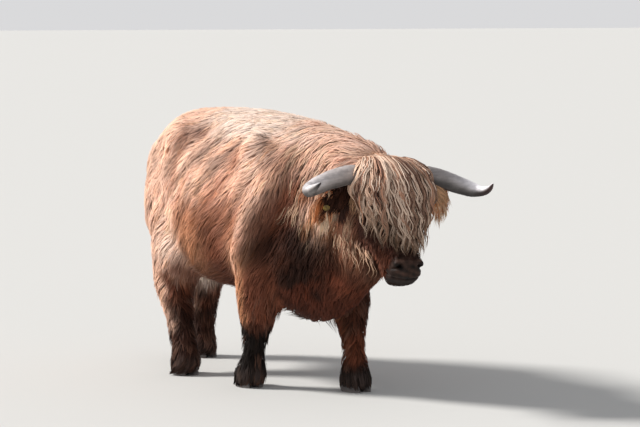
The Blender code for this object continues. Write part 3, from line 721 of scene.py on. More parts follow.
def coat_colour(p, normal, r):
    """Colour of the coat by place: pale above, red-brown on the flanks, dark below and on the legs."""
    x, y, z = p.T
    drift = 0.05 * noise(p, 0.16, 5)
    # parts that face up sit a little higher on this scale, so they are a little paler: painted highlight
    level = z + drift + 0.05 * normal[:, 2]
    col = mix(DEEP, RED, step(0.50, 0.74, level))
    col = mix(col, TAN, 0.94 * step(0.77, 0.99, level))
    col = mix(col, CREAM, 0.9 * step(1.09, 1.25, level) * (1 - 0.4 * step(-0.40, -0.62, y)))
    # paler over the hindquarters, darker under the neck and between the forelegs
    rear = step(0.04, 0.20, y) * step(0.40, 0.54, z)
    col = mix(col, TAN, 0.95 * rear * (1 - r.leg))
    col = mix(col, DEEP, 0.75 * bell(y, -0.16, 0.13) * step(0.86, 0.70, z) * (1 - r.leg))
    streaks = 0.24 * combed(p, 42) + 0.12 * combed(p * 2.4, 43)
    col = col * (1 + streaks * r.trunk * step(0.50, 0.65, z) * step(1.20, 1.05, z))[:, None]
    front = step(-0.42, -0.66, y)
    col = mix(col, DEEP, 0.85 * front * step(1.06, 0.86, level))
    col = mix(col, MAROON, 0.96 * front * step(0.92, 0.72, level))
    col = mix(col, srgb(98, 51, 36), 0.85 * front * step(0.56, 0.45, z + 0.05 * noise(p, 0.07, 14)))
    col = mix(col, srgb(138, 76, 54), 0.7 * bump(p, (0, -0.88, 0.51), (0.14, 0.08, 0.10)))
    col = mix(col, RED, 0.30 * front * step(0.98, 1.1, level))
    # painted shade: darker where the surface faces down, low on the body
    col = mix(col, MAROON, 0.45 * step(-0.2, -0.8, normal[:, 2]) * step(0.75, 0.6, z) * (1 - r.leg))
    # painted shade in front of the shoulder's edge of the coat, and a painted highlight along the ridge
    # behind it
    away, edge = behind_edge(p, SHOULDER_EDGE)
    shadow = edge * step(0.03, -0.03, away) * step(-0.30, -0.10, away) * step(1.12, 0.92, z)
    col = mix(mix(col, DEEP, 0.80 * shadow), MAROON, 0.78 * shadow * step(0.84, 0.67, z))
    ridge = edge * bell(away, 0.050, 0.045)
    col = mix(col, TAN, 0.75 * ridge * step(0.40, 0.62, z))
    # painted shade: a redder band just in front of the thigh's edge of the coat
    away, edge = behind_edge(p, THIGH_EDGE)
    col = mix(col, RED, 0.55 * edge * bell(away, -0.04, 0.04))
    for side in (-1, 1):
        # pale locks below the ears
        pale = mix(FRINGE, TAN, step(-0.4, 0.6, noise(p, 0.05, 12)))
        col = mix(col, pale, 0.95 * bump(p, (side * 0.15, -0.84, 0.82), (0.15, 0.085, 0.085)))
        for tone, strength, (across, back, up), radii in SIDE_PATCHES:
            col = mix(col, tone, strength * bump(p, (side * across, back, up), radii))
    # legs: dark from the knees and hocks down, with a paler fringe behind
    for i, name in enumerate(LEG_JOINTS):
        on = r.leg * (r.which == i)
        _, leg_y = leg_middle(name, z)
        _, width = leg_size(name, z)
        fore = "fore" in name
        behind = step(-0.03, 0.04, y - leg_y) if fore else step(-0.05, 0.03, y - leg_y)
        level = z + 0.055 * noise(p, 0.05, 15 + i)
        shade = mix(DEEP, DARK, step(0.36, 0.24, level) if fore else 0.8 * step(0.44, 0.24, level))
        if not fore:
            shade = mix(shade, TAN, 0.9 * step(0.40, 0.52, level) * step(-0.14, 0.0, y - leg_y))
        if name == "leg_fore_left":
            shade = mix(shade, srgb(112, 62, 43), 0.80 * step(0.09, 0.15, z))
            shade = mix(shade, DARK, 0.65 * step(0.24, 0.34, level))
        above = step(0.27, 0.35, level) if fore else step(0.16, 0.26, level)
        shade = mix(shade, FRINGE if fore else TAN, 0.9 * behind * above)
        shade = mix(shade, srgb(70, 58, 54), 0.5 * step(0.11, 0.07, z))
        col = mix(col, shade, on)
    # painted light: a cream patch where the inner left thigh is lit, between the hind legs
    col = mix(col, CREAM, 0.95 * bump(p, (0.12, 0.60, 0.41), (0.06, 0.06, 0.05)))
    # face, ears and tail
    h = folded(r.h)
    over, ahead, height = h.T
    face = mix(srgb(60, 33, 25), srgb(204, 152, 120), step(0.93, 1.02, height))
    face = mix(face, srgb(124, 68, 48), 0.8 * bump(h, (0.08, 0.11, 0.62), (0.05, 0.06, 0.06)))
    face = mix(face, srgb(58, 38, 31), step(0.72, 0.66, height) * step(0.065, 0.035, over))
    face = mix(face, srgb(44, 27, 21), 0.8 * step(0.150, 0.195, ahead) * step(0.68, 0.64, height))
    face = mix(face, srgb(36, 24, 20), 0.8 * step(0.585, 0.560, height))
    col = mix(col, face, r.head)
    # painted shade: the inside of the right ear's cup is dark
    inside = step(-0.3, 0.3, normal @ HEAD_FORWARD) * step(0.325, 0.29, over)
    ear = mix(ORANGE, srgb(58, 35, 26), inside * step(0.02, -0.02, r.h[:, 0]))
    ear = mix(ear, srgb(178, 118, 84), step(0.2, -0.4, normal @ HEAD_FORWARD))
    col = mix(col, ear, r.ear)
    col = mix(col, mix(TAN, srgb(176, 128, 98), step(0.95, 0.78, z)), r.tail)
    return col * (1 + 0.05 * noise(p, 0.09, 6))[:, None]


def skin_colour(p, normal, r, coat):
    """Under the coat the skin is the coat's colour, darker; the muzzle and the lids are bare and dark."""
    col = coat * 0.68
    nose = mix(MUZZLE, srgb(58, 40, 33), 0.5 + 0.5 * noise(p, 0.02, 9))
    h = folded(r.h)
    nose = mix(nose, srgb(98, 72, 62), 0.6 * bump(h, (0.046, 0.224, 0.655), (0.020, 0.022, 0.008)))
    # painted shade: the hollow of each nostril is near black
    hole = 1.6 * bump(h, (0.053, 0.220, 0.626), (0.020, 0.024, 0.013))
    nose = mix(nose, srgb(6, 4, 4), np.minimum(1, hole))
    nose = mix(nose, srgb(24, 20, 19), step(0.60, 0.56, h[:, 2]) * 0.7)
    col = mix(col, nose, bare_skin(r))
    for side in (-1, 1):
        col = mix(col, srgb(26, 18, 16), bump(r.h, eye_at(side), (0.030, 0.030, 0.020)))
    return col


def bare_skin(r):
    """1 on the hairless skin of nose and lips."""
    over = np.abs(r.h[:, 0])
    front = step(-0.002, 0.022, (r.h[:, 1] - 0.190 + 0.32 * over) * 0.80 - (r.h[:, 2] - 0.664) * 0.60)
    lips = bump(np.stack([0 * over, r.h[:, 1], r.h[:, 2] - 0.566], 1), (0, 0.205, 0), (1, 0.040, 0.018))
    return np.clip(front * step(0.50, 0.60, r.h[:, 2]) + lips, 0, 1) * r.head


class Fields:
    """What the coat does at each point of the skin: its lie, length, width, height and colour."""

    def __init__(self, p, normal, pairs):
        r = Regions(p)
        x, y, z = p.T
        side = np.clip((x - 0.04 - 0.05 * step(-0.66, -0.92, y)) / 0.05, -1, 1)
        top = step(0.55, 0.95, normal[:, 2])
        under = step(-0.25, -0.75, normal[:, 2])
        self.r, self.p, self.normal = r, p, normal
        poll = step(0.96, 1.01, r.h[:, 2]) * step(0.07, 0.02, r.h[:, 1]) * r.head
        behind = np.zeros(len(p))
        for i, name in enumerate(LEG_JOINTS):
            on = r.leg * (r.which == i)
            _, leg_y = leg_middle(name, z)
            behind += on * step(-0.02, 0.06, y - leg_y) * step(0.13, 0.22, z)
        foot = r.leg * step(0.19, 0.11, z)
        self.depth = coat_depth(p, normal) + 0.020 * r.ear + 0.012 * poll + 0.014 * behind
        self.colour = coat_colour(p, normal, r)

        def way(ax, ay, az):
            return np.stack(np.broadcast_arrays(ax, ay, az, x)[:3], 1).astype(float)

        hind = step(0.25, 0.50, y)
        body = way(0.0, 0.80 - 0.45 * hind, -0.85)
        body = mix(body, way(0.75 * side, 0.85, -0.35), top)
        body = mix(body, way(0.25 * side, 0.75, -0.55), under)
        body = mix(body, way(0.2 * side, 0.05, -1), step(0.62, 0.72, y))
        neck = way(0.0, 0.34, -1)
        neck = mix(neck, way(0.75 * side, 0.70, -0.55), step(0.62, 0.98, normal[:, 2]))
        neck = mix(neck, way(0.75 * side, 0.70, 0), step(-0.78, -0.92, y) * step(0.2, 0.7, normal[:, 2]))
        neck = mix(neck, way(0.1 * side, 0.05, -1), step(-0.5, -0.9, normal[:, 1]))
        neck = mix(neck, way(0.0, 0.5, -0.8), under)
        leg = way(0.0, 0.30, -1)
        ahead = HEAD_FORWARD
        outward = np.sign(r.h[:, 0])[:, None] * HEAD_ACROSS
        over = np.abs(r.h[:, 0])
        face = ahead * 0.3 - UP + outward * 0.15
        cheek = step(0.10, 0.02, r.h[:, 1])
        face = mix(face, -ahead * 0.75 - UP * 0.8, cheek)
        face = mix(face, -ahead + outward * 0.35 - UP * 0.2, poll)
        ear = outward * 0.55 - UP * 0.85 - ahead * 0.1
        parts = ((body, r.trunk), (neck, r.neck), (leg, r.leg), (face, r.head), (ear, r.ear), (DOWN, r.tail))
        flow = sum(lie * share[:, None] for lie, share in parts)
        swirl = np.stack([noise(p, 0.11, seed) for seed in (21, 22, 23)], 1)
        flow = unit(flow) + 0.26 * swirl * (1 - 0.5 * r.head + 0.7 * r.leg)[:, None]
        flow = flow - normal * dot(flow, normal)
        flow = relax(flow, pairs, 50)
        # where the lie of the hair is unsettled, as in a whorl, it stays short
        settled = step(0.10, 0.45, np.linalg.norm(flow, axis=1))
        self.flow = unit(flow)
        low = step(0.78, 0.60, z)
        body_long = 0.078 + 0.030 * under + 0.020 * low - 0.008 * top
        neck_long = (0.140 + 0.020 * top) * (1 - 0.45 * step(0.80, 0.58, z)) - 0.015 * under
        leg_long = 0.058 + 0.040 * step(0.20, 0.45, z) + 0.065 * behind * step(0.24, 0.38, z) + 0.022 * foot
        face_long = 0.022 + 0.018 * cheek + 0.03 * step(-0.02, -0.08, r.h[:, 1]) + 0.050 * poll
        inner = step(-0.1, 0.5, normal @ HEAD_FORWARD)
        ear_long = 0.095 - 0.045 * inner
        length = r.blend(body_long, neck_long, leg_long, face_long, ear_long, 0.055)
        self.length = length * (0.45 + 0.55 * settled)
        self.width = r.blend(0.0068, 0.0080, 0.0060, 0.0042, 0.0056, 0.007)
        # share of the way back to the coat's height that a lock is drawn; low values hang free
        hang = np.clip(under * r.trunk + 0.6 * step(0.2, 0.9, -normal[:, 2]) * r.neck, 0, 1)
        stick = 0.75 - 0.6 * hang - 0.70 * r.ear - 0.30 * r.leg - 0.4 * behind - 0.5 * foot
        self.stick = np.clip(stick, 0, 1)
        self.wave = r.blend(0.0022, 0.0055, 0.0045, 0.0004, 0.0012)
        self.even = r.blend(0.62, 0.45, 0.10, 0.5, 0.4, 0.4)
        self.clump = r.blend(0.30, 0.55, 0.70, 0.12, 0.45, 0.3)
        density = (10400 * r.trunk * (1 - 0.5 * under) + 9200 * r.neck + 12500 * r.leg + 18000 * r.head
                   + 17000 * r.ear + 12000 * r.tail)
        bald = bare_skin(r)
        for one in (-1, 1):
            bald = np.maximum(bald, step(0.62, 0.74, bump(r.h, eye_at(one), (0.034, 0.034, 0.026))))
        soles = step(0.030, 0.020, z)
        self.density = density * (1 - np.clip(bald, 0, 1)) * (1 - soles)
        self.name = self.piece_names()

    def piece_names(self):
        r, p, n = self.r, self.p, self.normal
        side = np.where(p[:, 0] > 0, "left", "right")
        names = np.char.add(np.where(p[:, 1] > 0.16, "coat_quarter_", "coat_flank_"), side)
        names = np.where(n[:, 2] > 0.72, "coat_back", names)
        names = np.where(n[:, 2] < -0.45, "coat_belly", names)
        names = np.where(r.neck > 0.5, np.char.add("coat_neck_", side), names)
        names = np.where((r.neck > 0.5) & (p[:, 2] < 0.66), "coat_chest", names)
        legs = np.array([name.replace("leg", "coat") for name in LEG_JOINTS])
        names = np.where(r.leg > 0.5, legs[r.which], names)
        names = np.where(r.head > 0.5, "coat_face", names)
        names = np.where(r.ear > 0.5, "coat_ears", names)
        return np.where(r.tail > 0.5, "coat_tail", names)


SEGMENTS = {"coat_neck_left": 6, "coat_neck_right": 6, "coat_chest": 5, "coat_face": 3, "coat_ears": 5}
DEFAULT_SEGMENTS = 4
SOFT_EDGE = 0.55  # how far the shading turns from a lock's ridge to its edges
PIECE_LIMIT = 195000  # triangles in one piece
PATCH = 0.003  # side of a lock's patch in the UV map
SEED_SPREAD = 50  # a lock's seed lies below this, and picks its own part of the noise
LOCKS_PER_LEADER = 13
GOLDEN_ANGLE = 2.399
WAVE_LENGTH = 0.085
ROOT_DEPTH = 0.0025  # how far a lock starts below the skin
FOOT_TOP = 0.13  # below this the hair keeps clear of the claws and the floor


# ---------------------------------------------------------------- unwrap


def triangles_of(mesh):
    mesh.calc_loop_triangles()
    return read(mesh.loop_triangles, "vertices", 3)


def pack_boxes(sizes):
    """Lay boxes in rows, tallest first, in the unit square: their corners and the scale."""
    order = np.argsort(-sizes[:, 1])
    area = (sizes[:, 0] * sizes[:, 1]).sum()
    width = max(math.sqrt(area), sizes.max()) * 1.02
    gap = width * 0.004
    corners = np.zeros((len(sizes), 2))
    while True:
        x = y = row = 0.0
        for i in order:
            if x + sizes[i, 0] > width:
                x, y, row = 0.0, y + row + gap, 0.0
            corners[i] = x, y
            x += sizes[i, 0] + gap
            row = max(row, sizes[i, 1])
        if y + row <= width:
            return corners / width, 1 / width
        width *= 1.03


class Unwrap:
    """Charts of the skin: connected patches that face one way, laid flat along that way."""

    def __init__(self, mesh):
        self.loop_vertex = faces = read(mesh.loops, "vertex_index")
        totals = read(mesh.polygons, "loop_total")
        self.loop_face = np.repeat(np.arange(len(totals)), totals)
        self.co = points_of(mesh)
        normal = unit(relax(normals_of(mesh), edges_of(mesh), 30))
        starts = np.concatenate([[0], np.cumsum(totals)[:-1]])
        mean = normal[faces[starts]]
        axis = np.abs(mean).argmax(1)
        facing = axis * 2 + (mean[np.arange(len(mean)), axis] > 0)
        loop_edge = read(mesh.loops, "edge_index")
        order = np.argsort(loop_edge, kind="stable")
        same = loop_edge[order][1:] == loop_edge[order][:-1]
        a = self.loop_face[order][:-1][same]
        b = self.loop_face[order][1:][same]
        keep = facing[a] == facing[b]
        a, b = a[keep], b[keep]
        chart = np.arange(len(totals))
        while True:
            low = np.minimum(chart[a], chart[b])
            new = chart.copy()
            np.minimum.at(new, a, low)
            np.minimum.at(new, b, low)
            new = new[new]
            if (new == chart).all():
                break
            chart = new
        self.chart = np.unique(chart, return_inverse=True)[1]
        self.flat_axes = np.array(((1, 2), (0, 2), (0, 1)))[axis]

    def flat(self, points, face):
        """Points of faces in their charts' planes, in metres."""
        return np.take_along_axis(points, self.flat_axes[face], 1)

    def place(self, points, face):
        """Places on an unwrap packed for just these points."""
        flat = self.flat(points, face)
        chart, index = np.unique(self.chart[face], return_inverse=True)
        low = np.full((len(chart), 2), np.inf)
        high = -low
        np.minimum.at(low, index, flat)
        np.maximum.at(high, index, flat)
        corners, scale = pack_boxes(high - low + 0.004)
        return (corners[index] + (flat - low[index] + 0.002) * scale) * 0.99 + 0.005


# ---------------------------------------------------------------- locks


def new_mesh(name, points, triangles, uv, attributes):
    mesh = bpy.data.meshes.new(name)
    mesh.vertices.add(len(points))
    mesh.vertices.foreach_set("co", points.astype(np.float32).ravel())
    mesh.loops.add(len(triangles) * 3)
    mesh.loops.foreach_set("vertex_index", triangles.astype(np.int32).ravel())
    mesh.polygons.add(len(triangles))
    mesh.polygons.foreach_set("loop_start", np.arange(0, len(triangles) * 3, 3, dtype=np.int32))
    mesh.update(calc_edges=True)
    mesh.shade_smooth()
    layer = mesh.uv_layers.new(name="OFBake")
    layer.uv.foreach_set("vector", uv[triangles.ravel()].astype(np.float32).ravel())
    for label, values in attributes.items():
        put_attribute(mesh, label, values)
    return add_object(name, mesh)


def put_attribute(mesh, label, values):
    if label == "Tint":
        layer = mesh.color_attributes.new(name=label, type="FLOAT_COLOR", domain="POINT")
        full = np.ones((len(values), 4), np.float32)
        full[:, :3] = np.clip(values, 0, 1)
        layer.data.foreach_set("color", full.ravel())
    elif values.ndim == 2:
        layer = mesh.attributes.new(name=label, type="FLOAT_VECTOR", domain="POINT")
        layer.data.foreach_set("vector", values.astype(np.float32).ravel())
    else:
        layer = mesh.attributes.new(name=label, type="FLOAT", domain="POINT")
        layer.data.foreach_set("value", values.astype(np.float32).ravel())


def build_locks(name, path, up, width, flatness, colour, place, random):
    """Solid locks: flattened three-sided tapers along paths (locks, rings + 1, 3)."""
    count, rings = len(path), path.shape[1] - 1
    ahead = unit(np.gradient(path, axis=1))
    side = unit(np.cross(ahead, up))
    up = np.cross(side, ahead)
    half = side[:, :-1] * (width[:, :-1, None] / 2)
    rise = up[:, :-1] * (width * flatness)[:, :-1, None]
    body = path[:, :-1]
    block = np.stack([body - half - rise * 0.3, body + half - rise * 0.3, body + rise * 0.7], 2)
    points = np.concatenate([block.reshape(count, rings * 3, 3), path[:, -1:]], 1)
    size = rings * 3 + 1
    tris = [(0, 1, 2)]
    for k in range(rings - 1):
        for a, b in ((0, 1), (1, 2), (2, 0)):
            a, b = 3 * k + a, 3 * k + b
            tris += [(a, a + 3, b + 3), (a, b + 3, b)]
    last = 3 * (rings - 1)
    tris += [(last + a, size - 1, last + b) for a, b in ((0, 1), (1, 2), (2, 0))]
    triangles = (np.array(tris)[None] + (np.arange(count) * size)[:, None, None]).reshape(-1, 3)
    across = np.append(np.tile((0.0, 1.0, 0.5), rings), 0.5)
    along = np.append(np.repeat(np.arange(rings), 3), rings) / rings
    patch = np.stack([across - 0.5, along - 0.5], 1) * PATCH
    uv = (place[:, None] + patch).reshape(-1, 2)
    reach = np.linalg.norm(np.diff(path, axis=1), axis=2).sum(1)
    seeds = random.random(count) * SEED_SPREAD
    strand = np.stack([np.tile(across, (count, 1)), along * reach[:, None],
                       np.repeat(seeds[:, None], size, 1)], 2)
    tint = np.concatenate([np.repeat(colour[:, :-1], 3, 1), colour[:, -1:]], 1).reshape(-1, 3)
    obj = new_mesh(name, points.reshape(-1, 3), triangles, uv,
                   {"Tint": tint, "Strand": strand.reshape(-1, 3)})
    # the locks shade softly, mostly as the body below them
    lean = np.concatenate([np.stack([up - side * SOFT_EDGE, up + side * SOFT_EDGE, up], 2)[:, :-1]
                           .reshape(count, rings * 3, 3), up[:, -1:]], 1)
    normal = unit(lean).reshape(-1, 3)[triangles].reshape(count, len(tris), 3, 3)
    beneath = np.array([set(np.array(tri) % 3) <= {0, 1} or 2 not in np.array(tri) % 3 for tri in tris])
    flat_under = np.repeat(-up[:, :1], 3, 1)
    normal[:, beneath] = flat_under[:, None]
    obj.data.normals_split_custom_set(normal.reshape(-1, 3))
    return obj


def nearest(tree, points):
    where = np.empty_like(points)
    normal = np.empty_like(points)
    face = np.empty(len(points), int)
    find = tree.find_nearest
    for i, point in enumerate(points.tolist()):
        where[i], normal[i], face[i], _ = find(point)
    return where, normal, face


def nearest_of(points, wanted):
    """For each wanted point, the index of the nearest of the points."""
    tree = KDTree(len(points))
    for i, point in enumerate(points.tolist()):
        tree.insert(point, i)
    tree.balance()
    return np.array([tree.find(point)[1] for point in wanted.tolist()])


def sample_roots(co, tris, density, wanted, random):
    """Even random places over the chosen triangles, in proportion to area and density."""
    a, b, c = (co[tris[:, i]] for i in range(3))
    area = np.linalg.norm(np.cross(b - a, c - a), axis=1) / 2
    weight = np.cumsum(area * density[tris].mean(1))
    count = min(int(weight[-1] * LOCK_SHARE), wanted)
    at = (np.arange(count) + random.random(count)) / count * weight[-1]
    pick = np.searchsorted(weight, at).clip(0, len(tris) - 1)
    u, v = random.random((2, count, 1))
    flip = u + v > 1
    u, v = np.where(flip, 1 - u, u), np.where(flip, 1 - v, v)
    return a[pick] + (b - a)[pick] * u + (c - a)[pick] * v, pick


def clear_of(tree, points, gap, reach):
    """Points moved out of the solids of a tree, to a gap from their surface."""
    moved = points.copy()
    for i, point in enumerate(points.tolist()):
        here, normal, _, far = tree.find_nearest(point, reach)
        if here is not None and (Vector(point) - here).dot(normal) < gap:
            moved[i] = here + normal * gap
    return moved


def grow_piece(name, fields, tris, tree, claws, unwrap, tri_face, shift, random):
    """One piece of the coat: locks that follow the skin at the height of the coat."""
    segments = SEGMENTS.get(name, DEFAULT_SEGMENTS)
    chosen = np.flatnonzero((fields.name[tris[:, 0]] == name) & (fields.density[tris].max(1) > 1))
    most = PIECE_LIMIT // (6 * segments - 2)
    roots, pick = sample_roots(fields.p, tris[chosen], fields.density, most, random)
    face = chosen[pick]
    count = len(roots)
    corner = tris[face, 0]
    normal = unit(fields.normal[tris[face]].mean(1))
    own = random.normal(size=(count, 4))
    length = fields.length[corner] * np.clip(1 + 0.18 * own[:, 0], 0.55, 1.5)
    layer = random.uniform(0, 1, count)
    layer = 0.35 + 0.65 * layer ** (1 - fields.even[corner])
    lift = fields.depth[corner] * layer
    # locks near the surface of the coat are the longer ones
    length *= 0.80 + 0.30 * layer
    at = roots - normal * ROOT_DEPTH
    path, ups, tints = [at], [normal], [fields.colour[corner]]
    ahead = fields.flow[corner]
    here, around, nearby = roots, normal, corner
    for k in range(1, segments + 1):
        t = k / segments
        flow = fields.flow[nearby]
        free = (1 - fields.stick[nearby])[:, None]
        flow = flow - around * dot(flow, around) * (1 - free * 0.8)
        ahead = unit(unit(flow) + 0.45 * ahead + DOWN * 0.35 * free)
        at = at + ahead * (length / segments)[:, None]
        here, around_face, tri = nearest(tree, at)
        nearby = tris[tri, 0]
        around = unit(fields.normal[tris[tri]].mean(1))
        height = dot(at - here, around)[:, 0]
        want = lift * min(1, 1.5 * t) ** 0.8 + 0.0012
        push = want - height
        push = np.where(push > 0, push, push * fields.stick[nearby])
        at = at + around * push[:, None]
        path.append(at)
        ups.append(around)
        tints.append(fields.colour[nearby])
    path, ups, tints = (np.stack(each, 1) for each in (path, ups, tints))
    along = np.linspace(0, 1, segments + 1)
    # locks gather towards a leader
    leaders = np.arange(0, count, LOCKS_PER_LEADER)
    leader = leaders[nearest_of(roots[leaders], roots)]
    pull = fields.clump[corner] * np.clip(1 + 0.5 * own[:, 1], 0, 1.5)
    gather = pull[:, None] * along**1.4
    path = path + (path[leader] - path) * gather[:, :, None]
    ahead = unit(np.gradient(path, axis=1))
    side = np.cross(ahead, ups)
    phase = (leader * GOLDEN_ANGLE + 0.5 * own[:, 2])[:, None]
    run = along * length[:, None]
    sway = fields.wave[corner][:, None] * np.sin(phase + run * 2 * math.pi / WAVE_LENGTH) * along**0.7
    path = path + side * sway[:, :, None]
    low = path[:, :, 2] < FOOT_TOP
    if low.any():
        path[low] = clear_of(claws, path[low], 0.004, 0.04)
        path[:, :, 2] = np.maximum(path[:, :, 2], 0.006 + 0.012 * random.random(count)[:, None])
    # colour: by place, by leader, by lock, and darker at the root than at the tip
    vary = 0.13 - 0.04 * fields.r.trunk[corner] + 0.08 * fields.r.leg[corner]
    shade = 1 + vary * (random.normal(size=count)[leader] + random.normal(size=count))
    warm = np.maximum(0.025 * random.normal(size=count)[leader] + 0.02 * random.normal(size=count), -0.02)
    # darker at the root as the hair's own tone; locks rooted deeper in the coat darker still, as painted
    # shade
    root_tone_and_depth_shade = 0.74 + 0.36 * (0.35 + 0.65 * layer[:, None]) * along**0.8
    tints = tints * (np.clip(shade, 0.55, 1.5)[:, None] * root_tone_and_depth_shade)[:, :, None]
    tints = tints * np.stack([1 + warm, np.ones(count), 1 - 1.5 * warm], 1)[:, None]
    pale = (random.random(count)[leader] < 0.22) * (random.random(count) < 0.8) * fields.r.neck[corner]
    level = roots[:, 2] + 0.12 * step(-0.75, -0.85, roots[:, 1])
    pale = pale * step(0.80, 0.95, level) * step(-0.60, -0.70, roots[:, 1])
    tints = tints + (BLOND - tints) * (pale[:, None] * 0.55 * (0.35 + 0.65 * along))[:, :, None]
    brown = (random.random(count)[leader] < 0.20) * fields.r.leg[corner] * random.uniform(0.2, 0.6, count)
    tints = tints + (srgb(128, 92, 76) - tints) * (brown[:, None] * along)[:, :, None]
    width = fields.width[corner] * np.clip(1 + 0.22 * own[:, 3], 0.5, 1.6)
    taper = np.interp(along, (0, 0.25, 0.6, 1), (0.75, 1.0, 0.80, 0.0))
    width = width[:, None] * taper
    place = unwrap.place(roots, tri_face[face])
    return build_locks(name, path + shift, ups, width, 0.26, tints, place, random)


def claw_tree(frame, shift):
    """The hooves, in the design frame."""
    points, faces = [], []
    for name, node in frame["nodes"].items():
        if name.startswith("claw"):
            start = len(points)
            points += [node.matrix_world @ v.co - Vector(shift) for v in node.data.vertices]
            faces += [[start + v for v in face.vertices] for face in node.data.polygons]
    return BVHTree.FromPolygons(points, faces)


def make_coat(skin, claws, shift):
    mesh = skin.data
    co = points_of(mesh)
    fields = Fields(co, normals_of(mesh), edges_of(mesh))
    tris = triangles_of(mesh)
    tri_face = read(mesh.loop_triangles, "polygon_index")
    tree = BVHTree.FromPolygons(co.tolist(), tris.tolist(), all_triangles=True)
    unwrap = Unwrap(mesh)
    layer = mesh.uv_layers.new(name="OFBake")
    uv = unwrap.place(co[unwrap.loop_vertex], unwrap.loop_face)
    layer.uv.foreach_set("vector", uv.astype(np.float32).ravel())
    put_attribute(mesh, "Tint", skin_colour(co, fields.normal, fields.r, fields.colour))
    put_attribute(mesh, "Bare", bare_skin(fields.r))
    pieces = []
    for i, name in enumerate(sorted(set(fields.name.tolist()))):
        random = np.random.default_rng(SEED + i)
        pieces.append(grow_piece(name, fields, tris, tree, claws, unwrap, tri_face, shift, random))
    return pieces, tree


# ---------------------------------------------------------------- forelock


FORELOCK_CLUMPS = 275
LOCKS_IN_CLUMP = 5
FORELOCK_RINGS = 23
POLL_TOP = 1.086
BROW = 0.93
STRAND_RINGS = 12
UV_COLUMNS = 40
SWITCH_LOCKS = 900


def forelock_surface(height, turn, layer):
    """A point of the curtain: height, turn from straight ahead, and depth in the curtain (1 is outside)."""
    rows = smooth_rows(FORELOCK_ROWS, 8)[::-1]
    # below the brow the locks hang straight; only the middle ones lie along the nose
    brow = np.maximum(height, BROW)
    ahead, width, depth = (np.interp(brow, rows[:, 0], rows[:, i]) for i in (1, 2, 3))
    fall = brow - height
    middle = np.clip(np.cos(turn), 0, 1) ** 2
    width = width * (1 - 0.7 * fall)
    ahead = ahead * (0.45 + 0.55 * middle) + 0.022 * (1 - middle) + fall * 0.24 * middle
    return layer * np.sin(turn) * width, ahead + layer * np.cos(turn) * depth, height


